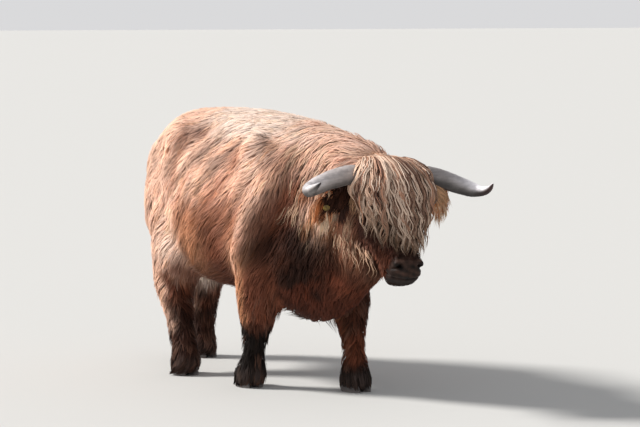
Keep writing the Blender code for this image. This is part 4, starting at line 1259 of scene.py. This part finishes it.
def make_forelock(tree, shift):
    """Long waves of hair from the poll: locks of fine strands that share a wave and end in one tip."""
    random = np.random.default_rng(SEED + 100)
    clumps = int(FORELOCK_CLUMPS * (1))
    turn = ((np.arange(clumps) + 0.5) / clumps * 2 - 1) * math.radians(122) + random.normal(0, 0.08, clumps)
    layer = 0.60 + 0.42 * ((random.permutation(clumps) + 0.5) / clumps) ** 0.75
    rows = smooth_rows(FORELOCK_ROWS, 8)[::-1]
    # each lock ends near where the curtain's outline narrows past it
    heights = np.linspace(0.665, 0.93, 60)
    outline = np.interp(heights, rows[:, 0], rows[:, 2])
    reach = np.abs(forelock_surface(np.full(clumps, 0.78), turn, layer)[0])
    end = heights[(outline[None] >= reach[:, None]).argmax(1)] + random.normal(0.004, 0.034, clumps)
    end = np.maximum(end, np.where(np.cos(turn) < 0, 0.84, 0.660) + 0.02 * random.random(clumps))
    phase = random.uniform(0, 2 * math.pi, clumps)
    pitch = random.uniform(0.09, 0.15, clumps)
    swing = random.uniform(0.005, 0.013, clumps)
    palette = np.array((srgb(216, 189, 168), srgb(182, 151, 130), srgb(138, 106, 88), srgb(172, 126, 102),
                        srgb(80, 52, 41)))
    tone = random.choice(len(palette), clumps, p=(0.26, 0.24, 0.18, 0.12, 0.20))
    who = np.repeat(np.arange(clumps), LOCKS_IN_CLUMP)
    count = len(who)
    turn, layer, end, phase, pitch, swing, tone = (
        each[who] for each in (turn, layer, end, phase, pitch, swing, tone))
    t = np.linspace(0, 1, FORELOCK_RINGS + 1)
    own = random.normal(size=(count, 8))
    start = POLL_TOP - 0.045 * random.random(clumps)[who] ** 1.6
    low = np.maximum(end + np.abs(0.012 * own[:, 0]), 0.655)
    height = start[:, None] + (low - start)[:, None] * t
    # strands spread from the root and close again towards the tip
    spread = 0.0052 * (1.6 - 1.5 * t**1.5)
    sink = np.clip(layer, 0.58, 1.02)[:, None] - 0.10 * step(0.6, 1.0, t)
    over, ahead, height = forelock_surface(height, turn[:, None] * (0.66 + 0.42 * t**0.8), sink)
    point = head_point(over, ahead, height)
    run = (start - low)[:, None] * t
    grip = step(0.02, 0.35, t) * (0.75 + 0.5 * t)
    angle = phase[:, None] + 0.18 * own[:, 3:4] + run * 2 * math.pi / pitch[:, None]
    swing = swing[:, None] * (1 + 0.12 * own[:, 4:5]) * grip
    axis = head_point(np.zeros(1), np.full(1, 0.03), np.zeros(1))
    outward = unit((point - axis) * (1, 1, 0))
    sideways = np.cross(UP, outward)
    curl = 0.15 * np.sin(angle * 2.3 + own[:, 7:8])
    point = point + sideways * ((np.sin(angle) + curl) * swing + spread * own[:, 1:2])[..., None]
    point = point + outward * (np.cos(angle) * swing * 0.45 + 0.5 * spread * own[:, 2:3])[..., None]
    # from roots on the back of the poll the hair rises over the crown and then falls
    front = np.cos(turn)
    root_over = 0.090 * np.sin(turn) + 0.010 * own[:, 1]
    # some start further back, among the hair of the crest
    root_ahead = np.where(front > 0, -0.045 - 0.02 * layer, 0.0) + 0.012 * own[:, 2]
    root_ahead -= 0.060 * (np.arange(clumps) * 0.618 % 1)[who] ** 2 * step(0.0, 0.5, front)
    roots, _, _ = nearest(tree, head_point(root_over, root_ahead, np.full(count, 1.075)))
    crown = head_point(root_over * 1.1, 0.030 * front - 0.005, 1.066 + 0.036 * layer + 0.003 * own[:, 6])
    share = np.clip(t / 0.17, 0, 1)[None, :, None]
    point = ((roots - UP * 0.006)[:, None] * (1 - share) ** 2 + crown[:, None] * 2 * share * (1 - share)
             + point * share**2)
    # stay out of the face
    flat = point[:, 2:].reshape(-1, 3)
    here, normal, _ = nearest(tree, flat)
    push = np.clip(0.010 - dot(flat - here, normal)[:, 0], 0, 0.06)
    point[:, 2:] = (flat + normal * push[:, None]).reshape(count, -1, 3)
    width = 0.0044 * np.clip(1 + 0.25 * own[:, 5:6], 0.5, 1.6)
    width = width * np.interp(t, (0, 0.1, 0.6, 0.85, 1), (0.7, 1, 0.9, 0.55, 0))
    shade = np.clip(1 + 0.10 * random.normal(size=count), 0.6, 1.4)[:, None]
    shade = shade * (0.85 + 0.20 * step(0.0, 0.3, t))
    # painted shade: locks deeper in the curtain are darker
    shade = shade * (0.24 + 0.84 * step(0.62, 0.96, sink))
    # painted light on the right side of the head, and darker towards the ends
    shade = shade * (1 + 0.42 * step(-0.45, -0.95, turn))[:, None] * (1 - 0.24 * step(0.25, 0.8, t))
    mixed = np.where(random.random(count) < 0.15, random.integers(0, len(palette), count), tone)
    colour = np.minimum(palette[mixed][:, None] * shade[:, :, None], srgb(226, 200, 180))
    colour = colour + (srgb(132, 102, 72) - colour) * (0.25 * step(0.55, 1.0, t))[None, :, None]
    rooty = step(0.22, 0.02, t)[None] * np.clip(0.25 + 0.3 * own[:, 5:6], 0, 0.8)
    colour = colour + (srgb(196, 146, 116) - colour) * rooty[..., None]
    place = np.stack([turn / 5.4 + 0.5 + own[:, 1] * 0.006,
                      (layer - 0.6) * 2.2 + own[:, 2] * 0.010], 1)
    place = 0.01 + 0.98 * np.clip(place, 0, 1)
    return build_locks("coat_forelock", point + shift, outward, width, 0.55, colour, place, random)


def hang(name, rows, tree, shift, random):
    """Wavy free strands. Each row gives one's root, fall, colours at root and tip, drift, outside, sway
    and gap from the skin."""
    roots, falls, first, last, drifts, outward, sways, gaps = (np.array(each) for each in zip(*rows))
    count, segments = len(roots), STRAND_RINGS
    roots, normal, _ = nearest(tree, roots)
    t = np.linspace(0, 1, segments + 1)
    run = falls[:, None] * t
    phase = (np.arange(count) // 6 * 2.4 + 0.4 * random.normal(size=count))[:, None]
    sweep = falls[:, None] * (t - 0.5 * t**2)
    point = roots[:, None] - normal[:, None] * 0.003 + DOWN * (run - 0.35 * sweep)[..., None]
    point = point + drifts[:, None] * sweep[..., None]
    sideways = unit(np.cross(UP, outward))
    swing = sways[:, None] * t**0.7 * (1 + 0.3 * random.normal(size=(count, 1)))
    angle = phase + run * 2 * math.pi / 0.11
    point = point + sideways[:, None] * (np.sin(angle) * swing)[..., None]
    point = point + outward[:, None] * (np.cos(angle) * swing * 0.5)[..., None]
    flat = point[:, 1:].reshape(-1, 3)
    here, around, _ = nearest(tree, flat)
    keep = (0.004 + gaps[:, None] * step(0.0, 0.45, t)[None, 1:]).reshape(-1)
    push = np.clip(keep - dot(flat - here, around)[:, 0], 0, 0.08)
    point[:, 1:] = (flat + around * push[:, None]).reshape(count, -1, 3)
    width = 0.0050 * np.interp(t, (0, 0.2, 0.7, 1), (0.6, 1, 0.8, 0)) * np.ones((count, 1))
    colour = first[:, None] + (last - first)[:, None] * step(0.05, 0.75, t)[None, :, None]
    column, row = np.arange(count) % UV_COLUMNS, np.arange(count) // UV_COLUMNS
    place = 0.02 + 0.96 * np.stack([column / (UV_COLUMNS - 1), row / (count // UV_COLUMNS + 1)], 1)
    up = np.broadcast_to(outward[:, None], point.shape)
    return build_locks(name, point + shift, up, width, 0.5, colour, place, random)


def make_strands(tree, shift):
    """Long pale strands that hang from the jaws, and from the edges of the ears."""
    random = np.random.default_rng(SEED + 150)
    jaw, ear = [], []
    for side in (-1, 1):
        across = HEAD_ACROSS * side
        for _ in range(20 if side < 0 else 8):
            share = random.uniform(-0.9, 0.75 if side < 0 else 0.1)
            at = head_point(side * (0.100 - 0.01 * share), -0.075 + 0.09 * share, 0.725 - 0.09 * share)
            fall = random.uniform(0.09, 0.20) * (1 if side < 0 else 0.6)
            tone = srgb(208, 168, 138) * random.uniform(0.4, 1.0)
            for _ in range(3):
                jaw.append((at + random.normal(0, 0.007, 3), fall * random.uniform(0.7, 1.1),
                            srgb(92, 50, 35), tone, across * 0.25 + HEAD_FORWARD * 0.25, across,
                            0.017, 0.026))
        # short hair that stands out on the cheeks
        for _ in range(46):
            high = random.uniform(0.60, 0.76)
            at = head_point(side * random.uniform(0.07, 0.10), random.uniform(-0.02, 0.14), high)
            tone = srgb(122, 71, 50) * random.uniform(0.5, 1.1) * (1 - 0.5 * step(0.66, 0.74, high))
            for _ in range(4):
                jaw.append((at + random.normal(0, 0.009, 3), random.uniform(0.025, 0.055), tone * 0.5, tone,
                            across * 0.3 - HEAD_FORWARD * 0.5, across, 0.003, 0.006))
        line = ear_rows(side, 6)
        for k in range(54 if side > 0 else 46):
            over, ahead, height, half, thick, droop = line[random.integers(7, len(line) - 2)]
            under = k < 40
            edge = random.uniform(-1.0, -0.5) if under else random.uniform(0.2, 0.95)
            at = head_point(side * over, ahead - thick * 0.3, height - droop * 0.35 + half * 0.85 * edge)
            fall = random.uniform(0.07, 0.16) if under else random.uniform(0.05, 0.08)
            tone = (FRINGE if random.random() < 0.40 else BLOND) * random.uniform(0.75, 1.1)
            if side < 0:  # on the right the hair is dark next to the cheek
                near = step(0.265, 0.205, over)
                tone = tone + (srgb(62, 36, 27) - tone) * near
                root_tone = ORANGE + (srgb(50, 30, 23) - ORANGE) * near
            else:
                root_tone = (ORANGE + FRINGE) / 2
            drift = (across * random.uniform(0.0, 0.35) + HEAD_FORWARD * random.normal(-0.05, 0.15)
                     if under else across * 0.9 + UP * 0.55 + HEAD_FORWARD * 0.25)
            for _ in range(6):
                ear.append((at + random.normal(0, 0.005, 3), fall * random.uniform(0.8, 1.1),
                            root_tone * random.uniform(0.7, 1.1), tone, drift, HEAD_FORWARD, 0.006, 0.006))
        # locks that spread from the sides of the poll over the ears
        for _ in range(36 if side > 0 else 12):
            share = random.random()
            at = head_point(side * (0.115 + 0.03 * share), 0.055 - 0.02 * share, 0.990 - 0.04 * share)
            reach = random.uniform(0.8, 2.2) if side > 0 else random.uniform(0.2, 0.7)
            fall = random.uniform(0.12, 0.18)
            tone = srgb(210, 164, 126) * random.uniform(0.5, 1.0)
            for _ in range(5):
                drift = across * reach + UP * 0.25 * reach - HEAD_FORWARD * 0.10
                ear.append((at + random.normal(0, 0.006, 3), fall * random.uniform(0.85, 1.1),
                            tone * 0.75, tone, drift, HEAD_FORWARD, 0.007, 0.012))
    return [hang("coat_jaws", jaw, tree, shift, random), hang("coat_ear_fringe", ear, tree, shift, random)]


# ---------------------------------------------------------------- tail switch


def make_switch(shift):
    """The switch: long locks from the tail's end, fullest half-way down."""
    random = np.random.default_rng(SEED + 200)
    count, segments = SWITCH_LOCKS, 6
    line = smooth_rows(SWITCH_LINE, 6)[::-1]
    t = np.linspace(0, 1, segments + 1)
    angle = random.uniform(0, 2 * math.pi, count)
    layer = np.sqrt(random.uniform(0.15, 1, count))
    start = random.uniform(0.42, 0.79, count)
    # the outer locks end higher, so that the switch comes to a point
    finish = start - random.uniform(0.15, 0.32, count)
    finish = np.maximum(finish, 0.272 + 0.13 * layer * random.random(count))
    height = start[:, None] + (finish - start)[:, None] * t
    y, radius = (np.interp(height, line[:, 2], line[:, i]) for i in (1, 3))
    turn = angle[:, None] + 0.16 * np.sin(height * 2 * math.pi / 0.17 + random.uniform(0, 6, count)[:, None])
    out = radius * layer[:, None] * (0.35 + 0.65 * np.minimum(1, t * 2.5))
    point = np.stack([np.cos(turn) * out, y + np.sin(turn) * out, height], 2)
    outward = np.stack([np.cos(turn), np.sin(turn), 0 * turn], 2)
    width = 0.0085 * np.clip(1 + 0.2 * random.normal(size=(count, 1)), 0.5, 1.5)
    width = width * np.interp(t, (0, 0.3, 0.7, 1), (0.7, 1, 0.8, 0))
    base = np.where((random.random(count) < 0.3)[:, None], srgb(186, 146, 118), srgb(126, 84, 62))
    # painted shade: locks deep inside the switch are darker; darker too towards the root
    colour = base[:, None] * ((0.6 + 0.45 * layer)[:, None] * (1 + 0.12 * random.normal(size=count))[:, None]
                              * (0.85 + 0.2 * t))[:, :, None]
    uv = np.stack([0.02 + 0.96 * angle / (2 * math.pi), 0.02 + 0.96 * (start - 0.42) / 0.37], 1)
    return build_locks("coat_switch", point + shift, outward, width, 0.5, colour, uv, random)


# ---------------------------------------------------------------- horns, eyes


def grid_mesh(name, rings, tint, shift):
    """A closed tube over rings, with its colours by ring and an even unwrap."""
    rings = np.array(rings)
    rows, count = rings.shape[:2]
    points = np.concatenate([rings.reshape(-1, 3), rings[:1].mean(1), rings[-1:].mean(1)])
    i, k = np.meshgrid(np.arange(rows - 1), np.arange(count), indexing="ij")
    a, b = i * count + k, i * count + (k + 1) % count
    triangles = [np.stack([a, b, b + count], 2).reshape(-1, 3),
                 np.stack([a, b + count, a + count], 2).reshape(-1, 3)]
    k = np.arange(count)
    start, last = rows * count, (rows - 1) * count
    triangles.append(np.stack([np.full(count, start), (k + 1) % count, k], 1))
    triangles.append(np.stack([np.full(count, start + 1), last + k, last + (k + 1) % count], 1))
    triangles = np.concatenate(triangles)
    colours = np.concatenate([tint.reshape(-1, 3), tint[0, :1], tint[-1, :1]])
    obj = new_mesh(name, points + shift, triangles, np.zeros((len(points), 2)), {"Tint": colours})
    # corner by corner, so that the seam column closes
    across = (triangles % count).astype(float)
    whole = triangles < rows * count
    row = np.where(whole, triangles // count, np.where(triangles == start, 0, rows - 1))
    across = np.where(whole, across, across[:, [1, 2, 0]])
    wrap = (across.max(1) - across.min(1)) > count / 2
    across = np.where(wrap[:, None] & (across < count / 2), across + count, across)
    uv = np.stack([0.02 + 0.94 * across / (count + 1), 0.02 + 0.96 * row / (rows - 1)], 2).reshape(-1, 2)
    obj.data.uv_layers["OFBake"].uv.foreach_set("vector", uv.astype(np.float32).ravel())
    return obj


def make_horn(side, name, shift):
    rows = smooth_rows(HORN_LINE, 14)
    line = np.array([(*head_point(side * over, ahead, height), radius)
                     for over, ahead, height, radius in rows])
    reach = np.concatenate([[0], np.cumsum(np.linalg.norm(np.diff(line[:, :3], axis=0), axis=1))])
    share = reach / reach[-1]
    # growth rings near the base, fading out along the horn
    ripple = 0.0007 * np.sin(reach * 2 * math.pi / 0.021 + 2 * np.sin(reach * 31)) * step(0.75, 0.15, share)
    line[:, 3] += ripple - 0.0006
    if side > 0:
        line[:, 3] *= 1 - 0.20 * step(0.62, 0.86, share)
    count = 44
    dome = [(math.cos(a), math.sin(a)) for a in np.radians((25, 50, 70, 84))]
    rings = np.array(tube_rings(line, count, dome))
    share = np.concatenate([share, np.ones(len(dome))])
    if side < 0:
        rings = rings[:, ::-1]
    flat = rings.reshape(-1, 3)
    middle = np.repeat(rings.mean(1), count, 0)
    groove = 0.00035 * noise(flat, 0.012, 61) + 0.0005 * noise(flat, 0.05, 62)
    flat = flat + unit(flat - middle) * groove[:, None] * np.repeat(step(1.0, 0.85, share), count)[:, None]
    rings = flat.reshape(rings.shape)
    # the left horn's tint is darker than the right's: painted shade
    tint = np.tile(srgb(172, 163, 160) if side < 0 else srgb(136, 130, 129), (len(rings), count, 1))
    tip = step(0.94, 0.99, share)[:, None, None]
    tint = tint + (srgb(62, 56, 55) - tint) * tip * (0.85 if side < 0 else 0.30)
    base = step(0.28, 0.0, share)[:, None, None]
    tint = tint + (srgb(118, 106, 100) - tint) * base * 0.8
    # pale on the upper side towards the tip: painted highlight; the left horn has a reddish rim below its
    # tip
    level = (unit(flat - middle) @ UP).reshape(len(rings), count, 1)
    pale = step(0.30, 0.80, share)[:, None, None] * step(-0.35, 0.45, level)
    tint = tint + (srgb(236, 232, 236) - tint) * pale * (0.40 if side < 0 else 0.85)
    if side > 0:
        rim = step(0.70, 0.88, share)[:, None, None] * step(0.0, -0.6, level)
        tint = tint + (srgb(104, 54, 50) - tint) * rim * 0.7
    mottle = noise(flat, 0.05, 63).reshape(len(rings), count, 1)
    # a mottle of the horn's own, a little painted highlight on top, and strong painted shade darker below
    tint *= 1 + 0.08 * mottle + 0.08 * step(0.3, 1.0, level) - 0.72 * step(0.30, -0.60, level)
    return grid_mesh(name, rings, tint, shift)


def make_eye(side, name, shift):
    """An eyeball with a wide pupil, a brown iris and a bulging cornea, looking out and a little ahead."""
    centre = head_point(*eye_at(side))
    outward = unit(HEAD_ACROSS * side + HEAD_FORWARD * 0.28 + UP * 0.02)
    along = unit(np.cross(UP, outward))
    upward = np.cross(outward, along)
    polar = np.linspace(0, math.pi, 42)[1:-1]
    turn = np.arange(48) * 2 * math.pi / 48
    cornea = 0.0012 * step(0.62, 0.2, polar)
    radius = (EYE_RADIUS - 0.0012 + cornea)[:, None]
    u = np.sin(polar)[:, None] * np.cos(turn)
    v = np.sin(polar)[:, None] * np.sin(turn)
    w = np.cos(polar)[:, None] + 0 * turn
    rings = (centre + (radius * u)[..., None] * along + (radius * v)[..., None] * upward
             + (radius * w)[..., None] * outward)
    off = np.sin(polar)[:, None] + 0 * turn
    tint = np.tile(srgb(150, 132, 120), (len(polar), len(turn), 1))
    iris = step(0.66, 0.60, off)[..., None]
    tint = tint + (srgb(58, 32, 18) * (0.8 + 0.25 * np.sin(turn * 17))[None, :, None] - tint) * iris
    rim = bell(off, 0.62, 0.04)[..., None]
    tint = tint + (srgb(20, 14, 12) - tint) * rim
    pupil = step(1.15, 0.95, np.sqrt((u / 0.40) ** 2 + (v / 0.24) ** 2))[..., None]
    tint = tint + (srgb(6, 6, 8) - tint) * pupil
    return grid_mesh(name, rings, tint, shift)


# ---------------------------------------------------------------- materials


class Nodes:
    """Short ways to add linked nodes to a node tree."""

    def __init__(self, tree):
        self.all, self.links = tree.nodes, tree.links

    def feed(self, node, socket, value):
        """Give a socket a link or a value of its own."""
        if isinstance(value, bpy.types.NodeSocket):
            self.links.new(value, node.inputs[socket])
        else:
            node.inputs[socket].default_value = value

    def add(self, kind, inputs=(), **settings):
        node = self.all.new("ShaderNode" + kind)
        for setting, value in settings.items():
            setattr(node, setting, value)
        for socket, value in dict(inputs).items():
            self.feed(node, socket, value)
        return node

    def attribute(self, name, output="Color"):
        return self.add("Attribute", attribute_name=name).outputs[output]

    def place(self, kind="Object"):
        return self.add("TexCoord").outputs[kind]

    def height(self, place):
        return self.add("SeparateXYZ", {0: place}).outputs["Z"]

    def stretched(self, place, scale):
        return self.add("Mapping", {"Vector": place, "Scale": scale}).outputs[0]

    def noise(self, place, scale, detail=4.0, roughness=0.55):
        inputs = {"Vector": place, "Scale": scale, "Detail": detail, "Roughness": roughness}
        return self.add("TexNoise", inputs).outputs["Fac"]

    def ranged(self, value, low, high, from_low=0.3, from_high=0.7):
        inputs = {"Value": value, "From Min": from_low, "From Max": from_high, "To Min": low, "To Max": high}
        return self.add("MapRange", inputs).outputs["Result"]

    def times(self, colour, factor):
        """A colour multiplied by a grey factor."""
        return self.add("VectorMath", {0: colour, "Scale": factor}, operation="SCALE").outputs[0]

    def between(self, share, a, b):
        return self.add("Mix", {"Factor": share, "A": a, "B": b}).outputs["Result"]

    def relief(self, height, strength, distance):
        inputs = {"Height": height, "Strength": strength, "Distance": distance}
        return self.add("Bump", inputs).outputs["Normal"]

    def ramp(self, value, *stops):
        """A colour ramp with two stops, each a position and a linear colour."""
        node = self.add("ValToRGB", {"Fac": value})
        for element, (at, colour) in zip(node.color_ramp.elements, stops):
            element.position, element.color = at, (*colour, 1)
        return node.outputs["Color"]


class Paint(Nodes):
    """A new material with one Principled shader."""

    def __init__(self, name, **sockets):
        self.mat = bpy.data.materials.new(name)
        self.mat.use_nodes = True
        super().__init__(self.mat.node_tree)
        self.finish(**sockets)

    def finish(self, **sockets):
        """Feed the shader's sockets, named with _ for a space, and give the material."""
        for socket, value in sockets.items():
            self.feed(self.all["Principled BSDF"], socket.replace("_", " "), value)
        return self.mat


def hair_material(name, contrast, specular):
    """Locks: fine hairs run along them, as streaks of light and shade in colour, bump and gloss."""
    new = Paint(name, Roughness=0.55, Sheen_Weight=0.01, Sheen_Roughness=0.45, Specular_IOR_Level=specular)
    strand = {0: new.attribute("Strand", "Vector"), 1: (6.0, 14.0, 3.1)}
    hairs = new.noise(new.add("VectorMath", strand, operation="MULTIPLY").outputs[0], 1.0, 3.0, 0.6)
    shade = new.ranged(hairs, 1 - contrast, 1 + contrast)
    return new.finish(Base_Color=new.times(new.attribute("Tint"), shade),
                      Normal=new.relief(hairs, 0.55, 0.0012), Roughness=new.ranged(hairs, 0.68, 0.48))


def skin_material():
    """Short hair under the coat; on nose and lips damp, pebbled, hairless skin."""
    new = Paint("cow_skin", Roughness=0.7, Specular_IOR_Level=0.13)
    place, bare = new.place(), new.attribute("Bare", "Fac")
    fuzz, spots = new.noise(place, 170.0, 5.0, 0.65), new.noise(place, 55.0, 4.0)
    pebbles = new.add("TexVoronoi", {"Vector": place, "Scale": 210.0}, feature="SMOOTH_F1")
    shade = new.between(bare, new.ranged(fuzz, 0.72, 1.28), new.ranged(spots, 0.70, 1.45))
    height = new.between(bare, fuzz, pebbles.outputs["Distance"])
    return new.finish(Base_Color=new.times(new.attribute("Tint"), shade),
                      Normal=new.relief(height, 0.7, 0.0012),
                      Roughness=new.ranged(bare, 0.80, 0.52, 0.0, 1.0))


def horn_material():
    """Grey horn: lengthwise grain, a waxy gloss and worn paler patches."""
    new = Paint("horn", Roughness=0.5, Specular_IOR_Level=0.32)
    place = new.place()
    grain = new.noise(new.stretched(place, (0.18, 0.5, 1.0)), 130.0, 6.0, 0.6)
    patches = new.noise(place, 22.0, 3.0)
    grained = new.times(new.attribute("Tint"), new.ranged(grain, 0.80, 1.18))
    return new.finish(Base_Color=new.times(grained, new.ranged(patches, 0.82, 1.15)),
                      Normal=new.relief(grain, 0.45, 0.0010), Roughness=new.ranged(patches, 0.60, 0.44))


def hoof_material():
    """Hoof horn: dark slate with growth bands, scuffed pale towards the ground."""
    new = Paint("hoof", Roughness=0.5, Specular_IOR_Level=0.4)
    place = new.place()
    bands = new.noise(new.stretched(place, (0.12, 0.12, 2.2)), 60.0, 3.0)
    scuffs = new.noise(place, 90.0, 6.0, 0.7)
    colour = new.ramp(new.ranged(new.height(place), 0.0, 1.0, 0.0, 0.045),
                      (0.0, srgb(98, 92, 90)), (1.0, srgb(34, 30, 29)))
    banded = new.times(colour, new.ranged(bands, 0.75, 1.25))
    return new.finish(Base_Color=new.times(banded, new.ranged(scuffs, 0.75, 1.3)),
                      Normal=new.relief(bands, 0.5, 0.0012), Roughness=new.ranged(scuffs, 0.40, 0.66))


def eye_material():
    """Wet eye: colour from the eyeball's own parts, a fine mottle, and a clear coat."""
    new = Paint("eye", Roughness=0.12, Coat_Weight=1.0, Coat_Roughness=0.02, Coat_IOR=1.38)
    fibres = new.ranged(new.noise(new.place(), 420.0, 3.0), 0.75, 1.25)
    return new.finish(Base_Color=new.times(new.attribute("Tint"), fibres))


def tag_material():
    """Dull yellow plastic, weathered and a little dirty."""
    new = Paint("tag_plastic", Roughness=0.5, Specular_IOR_Level=0.45)
    place = new.place()
    dirt, scratches = new.noise(place, 90.0, 5.0, 0.65), new.noise(place, 420.0, 2.0)
    colour = new.ramp(dirt, (0.35, srgb(70, 55, 24)), (0.62, srgb(134, 108, 38)))
    return new.finish(Base_Color=colour, Normal=new.relief(scratches, 0.25, 0.0004),
                      Roughness=new.ranged(dirt, 0.62, 0.42))


def floor_material():
    return Paint("studio_floor", Roughness=0.85, Specular_IOR_Level=0.2,
                 Base_Color=(*srgb(206, 205, 202), 1)).mat


# ---------------------------------------------------------------- studio


def add_sun(name, energy, softness, at, colour):
    """A soft distant light that shines from a place towards the origin; softness is its angle in degrees."""
    light = bpy.data.lights.new(name, "SUN")
    light.energy, light.angle, light.color = energy, math.radians(softness), colour
    add_object(name, light).rotation_euler = (-Vector(at)).to_track_quat("-Z", "Y").to_euler()


def make_studio(shift):
    shape = bmesh.new()
    bmesh.ops.create_grid(shape, x_segments=8, y_segments=8, size=FLOOR_SIZE / 2)
    floor = add_object("floor", mesh_of(shape, "floor"))
    floor.data.materials.append(floor_material())
    world = bpy.data.worlds.new("studio")
    world.use_nodes = True
    nodes = Nodes(world.node_tree)
    height = nodes.ranged(nodes.height(nodes.place("Generated")), 0.0, 1.0, 0.02, 0.45)
    sky = nodes.ramp(height, (0.0, (0.70, 0.70, 0.71)), (1.0, (0.40, 0.41, 0.43)))
    nodes.feed(nodes.all["Background"], "Color", sky)
    bpy.context.scene.world = world
    add_sun("key", 4.4, 12, (-3.0, 2.7, 3.2), (1.0, 0.98, 0.95))
    add_sun("fill", 0.25, 60, (-4.5, -6.5, 4.0), (1.0, 1.0, 1.0))
    camera = add_object("camera", bpy.data.cameras.new("camera"))
    camera.data.lens = CAMERA_LENS
    camera.location = Vector(CAMERA_AT) + Vector(shift)
    camera.rotation_euler = (math.radians(90 - CAMERA_TILT), 0, math.radians(CAMERA_TURN))
    bpy.context.scene.camera = camera
    bpy.context.scene.view_settings.view_transform = "Standard"


# ---------------------------------------------------------------- the scene


def finish_piece(obj, mat, slot, *nodes):
    obj.data.materials.clear()
    obj.data.materials.append(mat)
    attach(obj, "root")
    if nodes:
        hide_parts(*nodes)


def main():
    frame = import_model()
    shift = row_shift()
    skin = make_skin()
    coat, tree = make_coat(skin, claw_tree(frame, shift), shift)
    skin.data.transform(Matrix.Translation(Vector(shift)))
    skin.data.shade_smooth()
    finish_piece(skin, skin_material(), "coat", "trunk", "neck", "head", "muzzle", "ear_left", "ear_right",
                 "tail", *LEG_JOINTS)
    hair = hair_material("coat_hair", 0.20, 0.07)
    locks = hair_material("forelock_hair", 0.26, 0.20)
    for piece in coat:
        legs = piece.name.startswith(("coat_fore", "coat_hind"))
        finish_piece(piece, hair, "dark_coat" if legs else "coat")
    finish_piece(make_forelock(tree, shift), locks, "pale_locks", "forelock")
    for piece in make_strands(tree, shift):
        finish_piece(piece, locks, "pale_locks")
    finish_piece(make_switch(shift), locks, "pale_locks", "tail_switch")
    horn, eye = horn_material(), eye_material()
    for side, word in ((-1, "right"), (1, "left")):
        finish_piece(make_horn(side, "horn_shell_" + word, shift), horn, "horn", "horn_" + word)
        finish_piece(make_eye(side, "eyeball_" + word, shift), eye, "eye", "eye_" + word)
    hoof, tag = hoof_material(), tag_material()
    for name, node in frame["nodes"].items():
        if name.startswith("claw") or name == "ear_tag":
            node.data.materials.clear()
            node.data.materials.append(tag if name == "ear_tag" else hoof)
    make_studio(shift)


main()
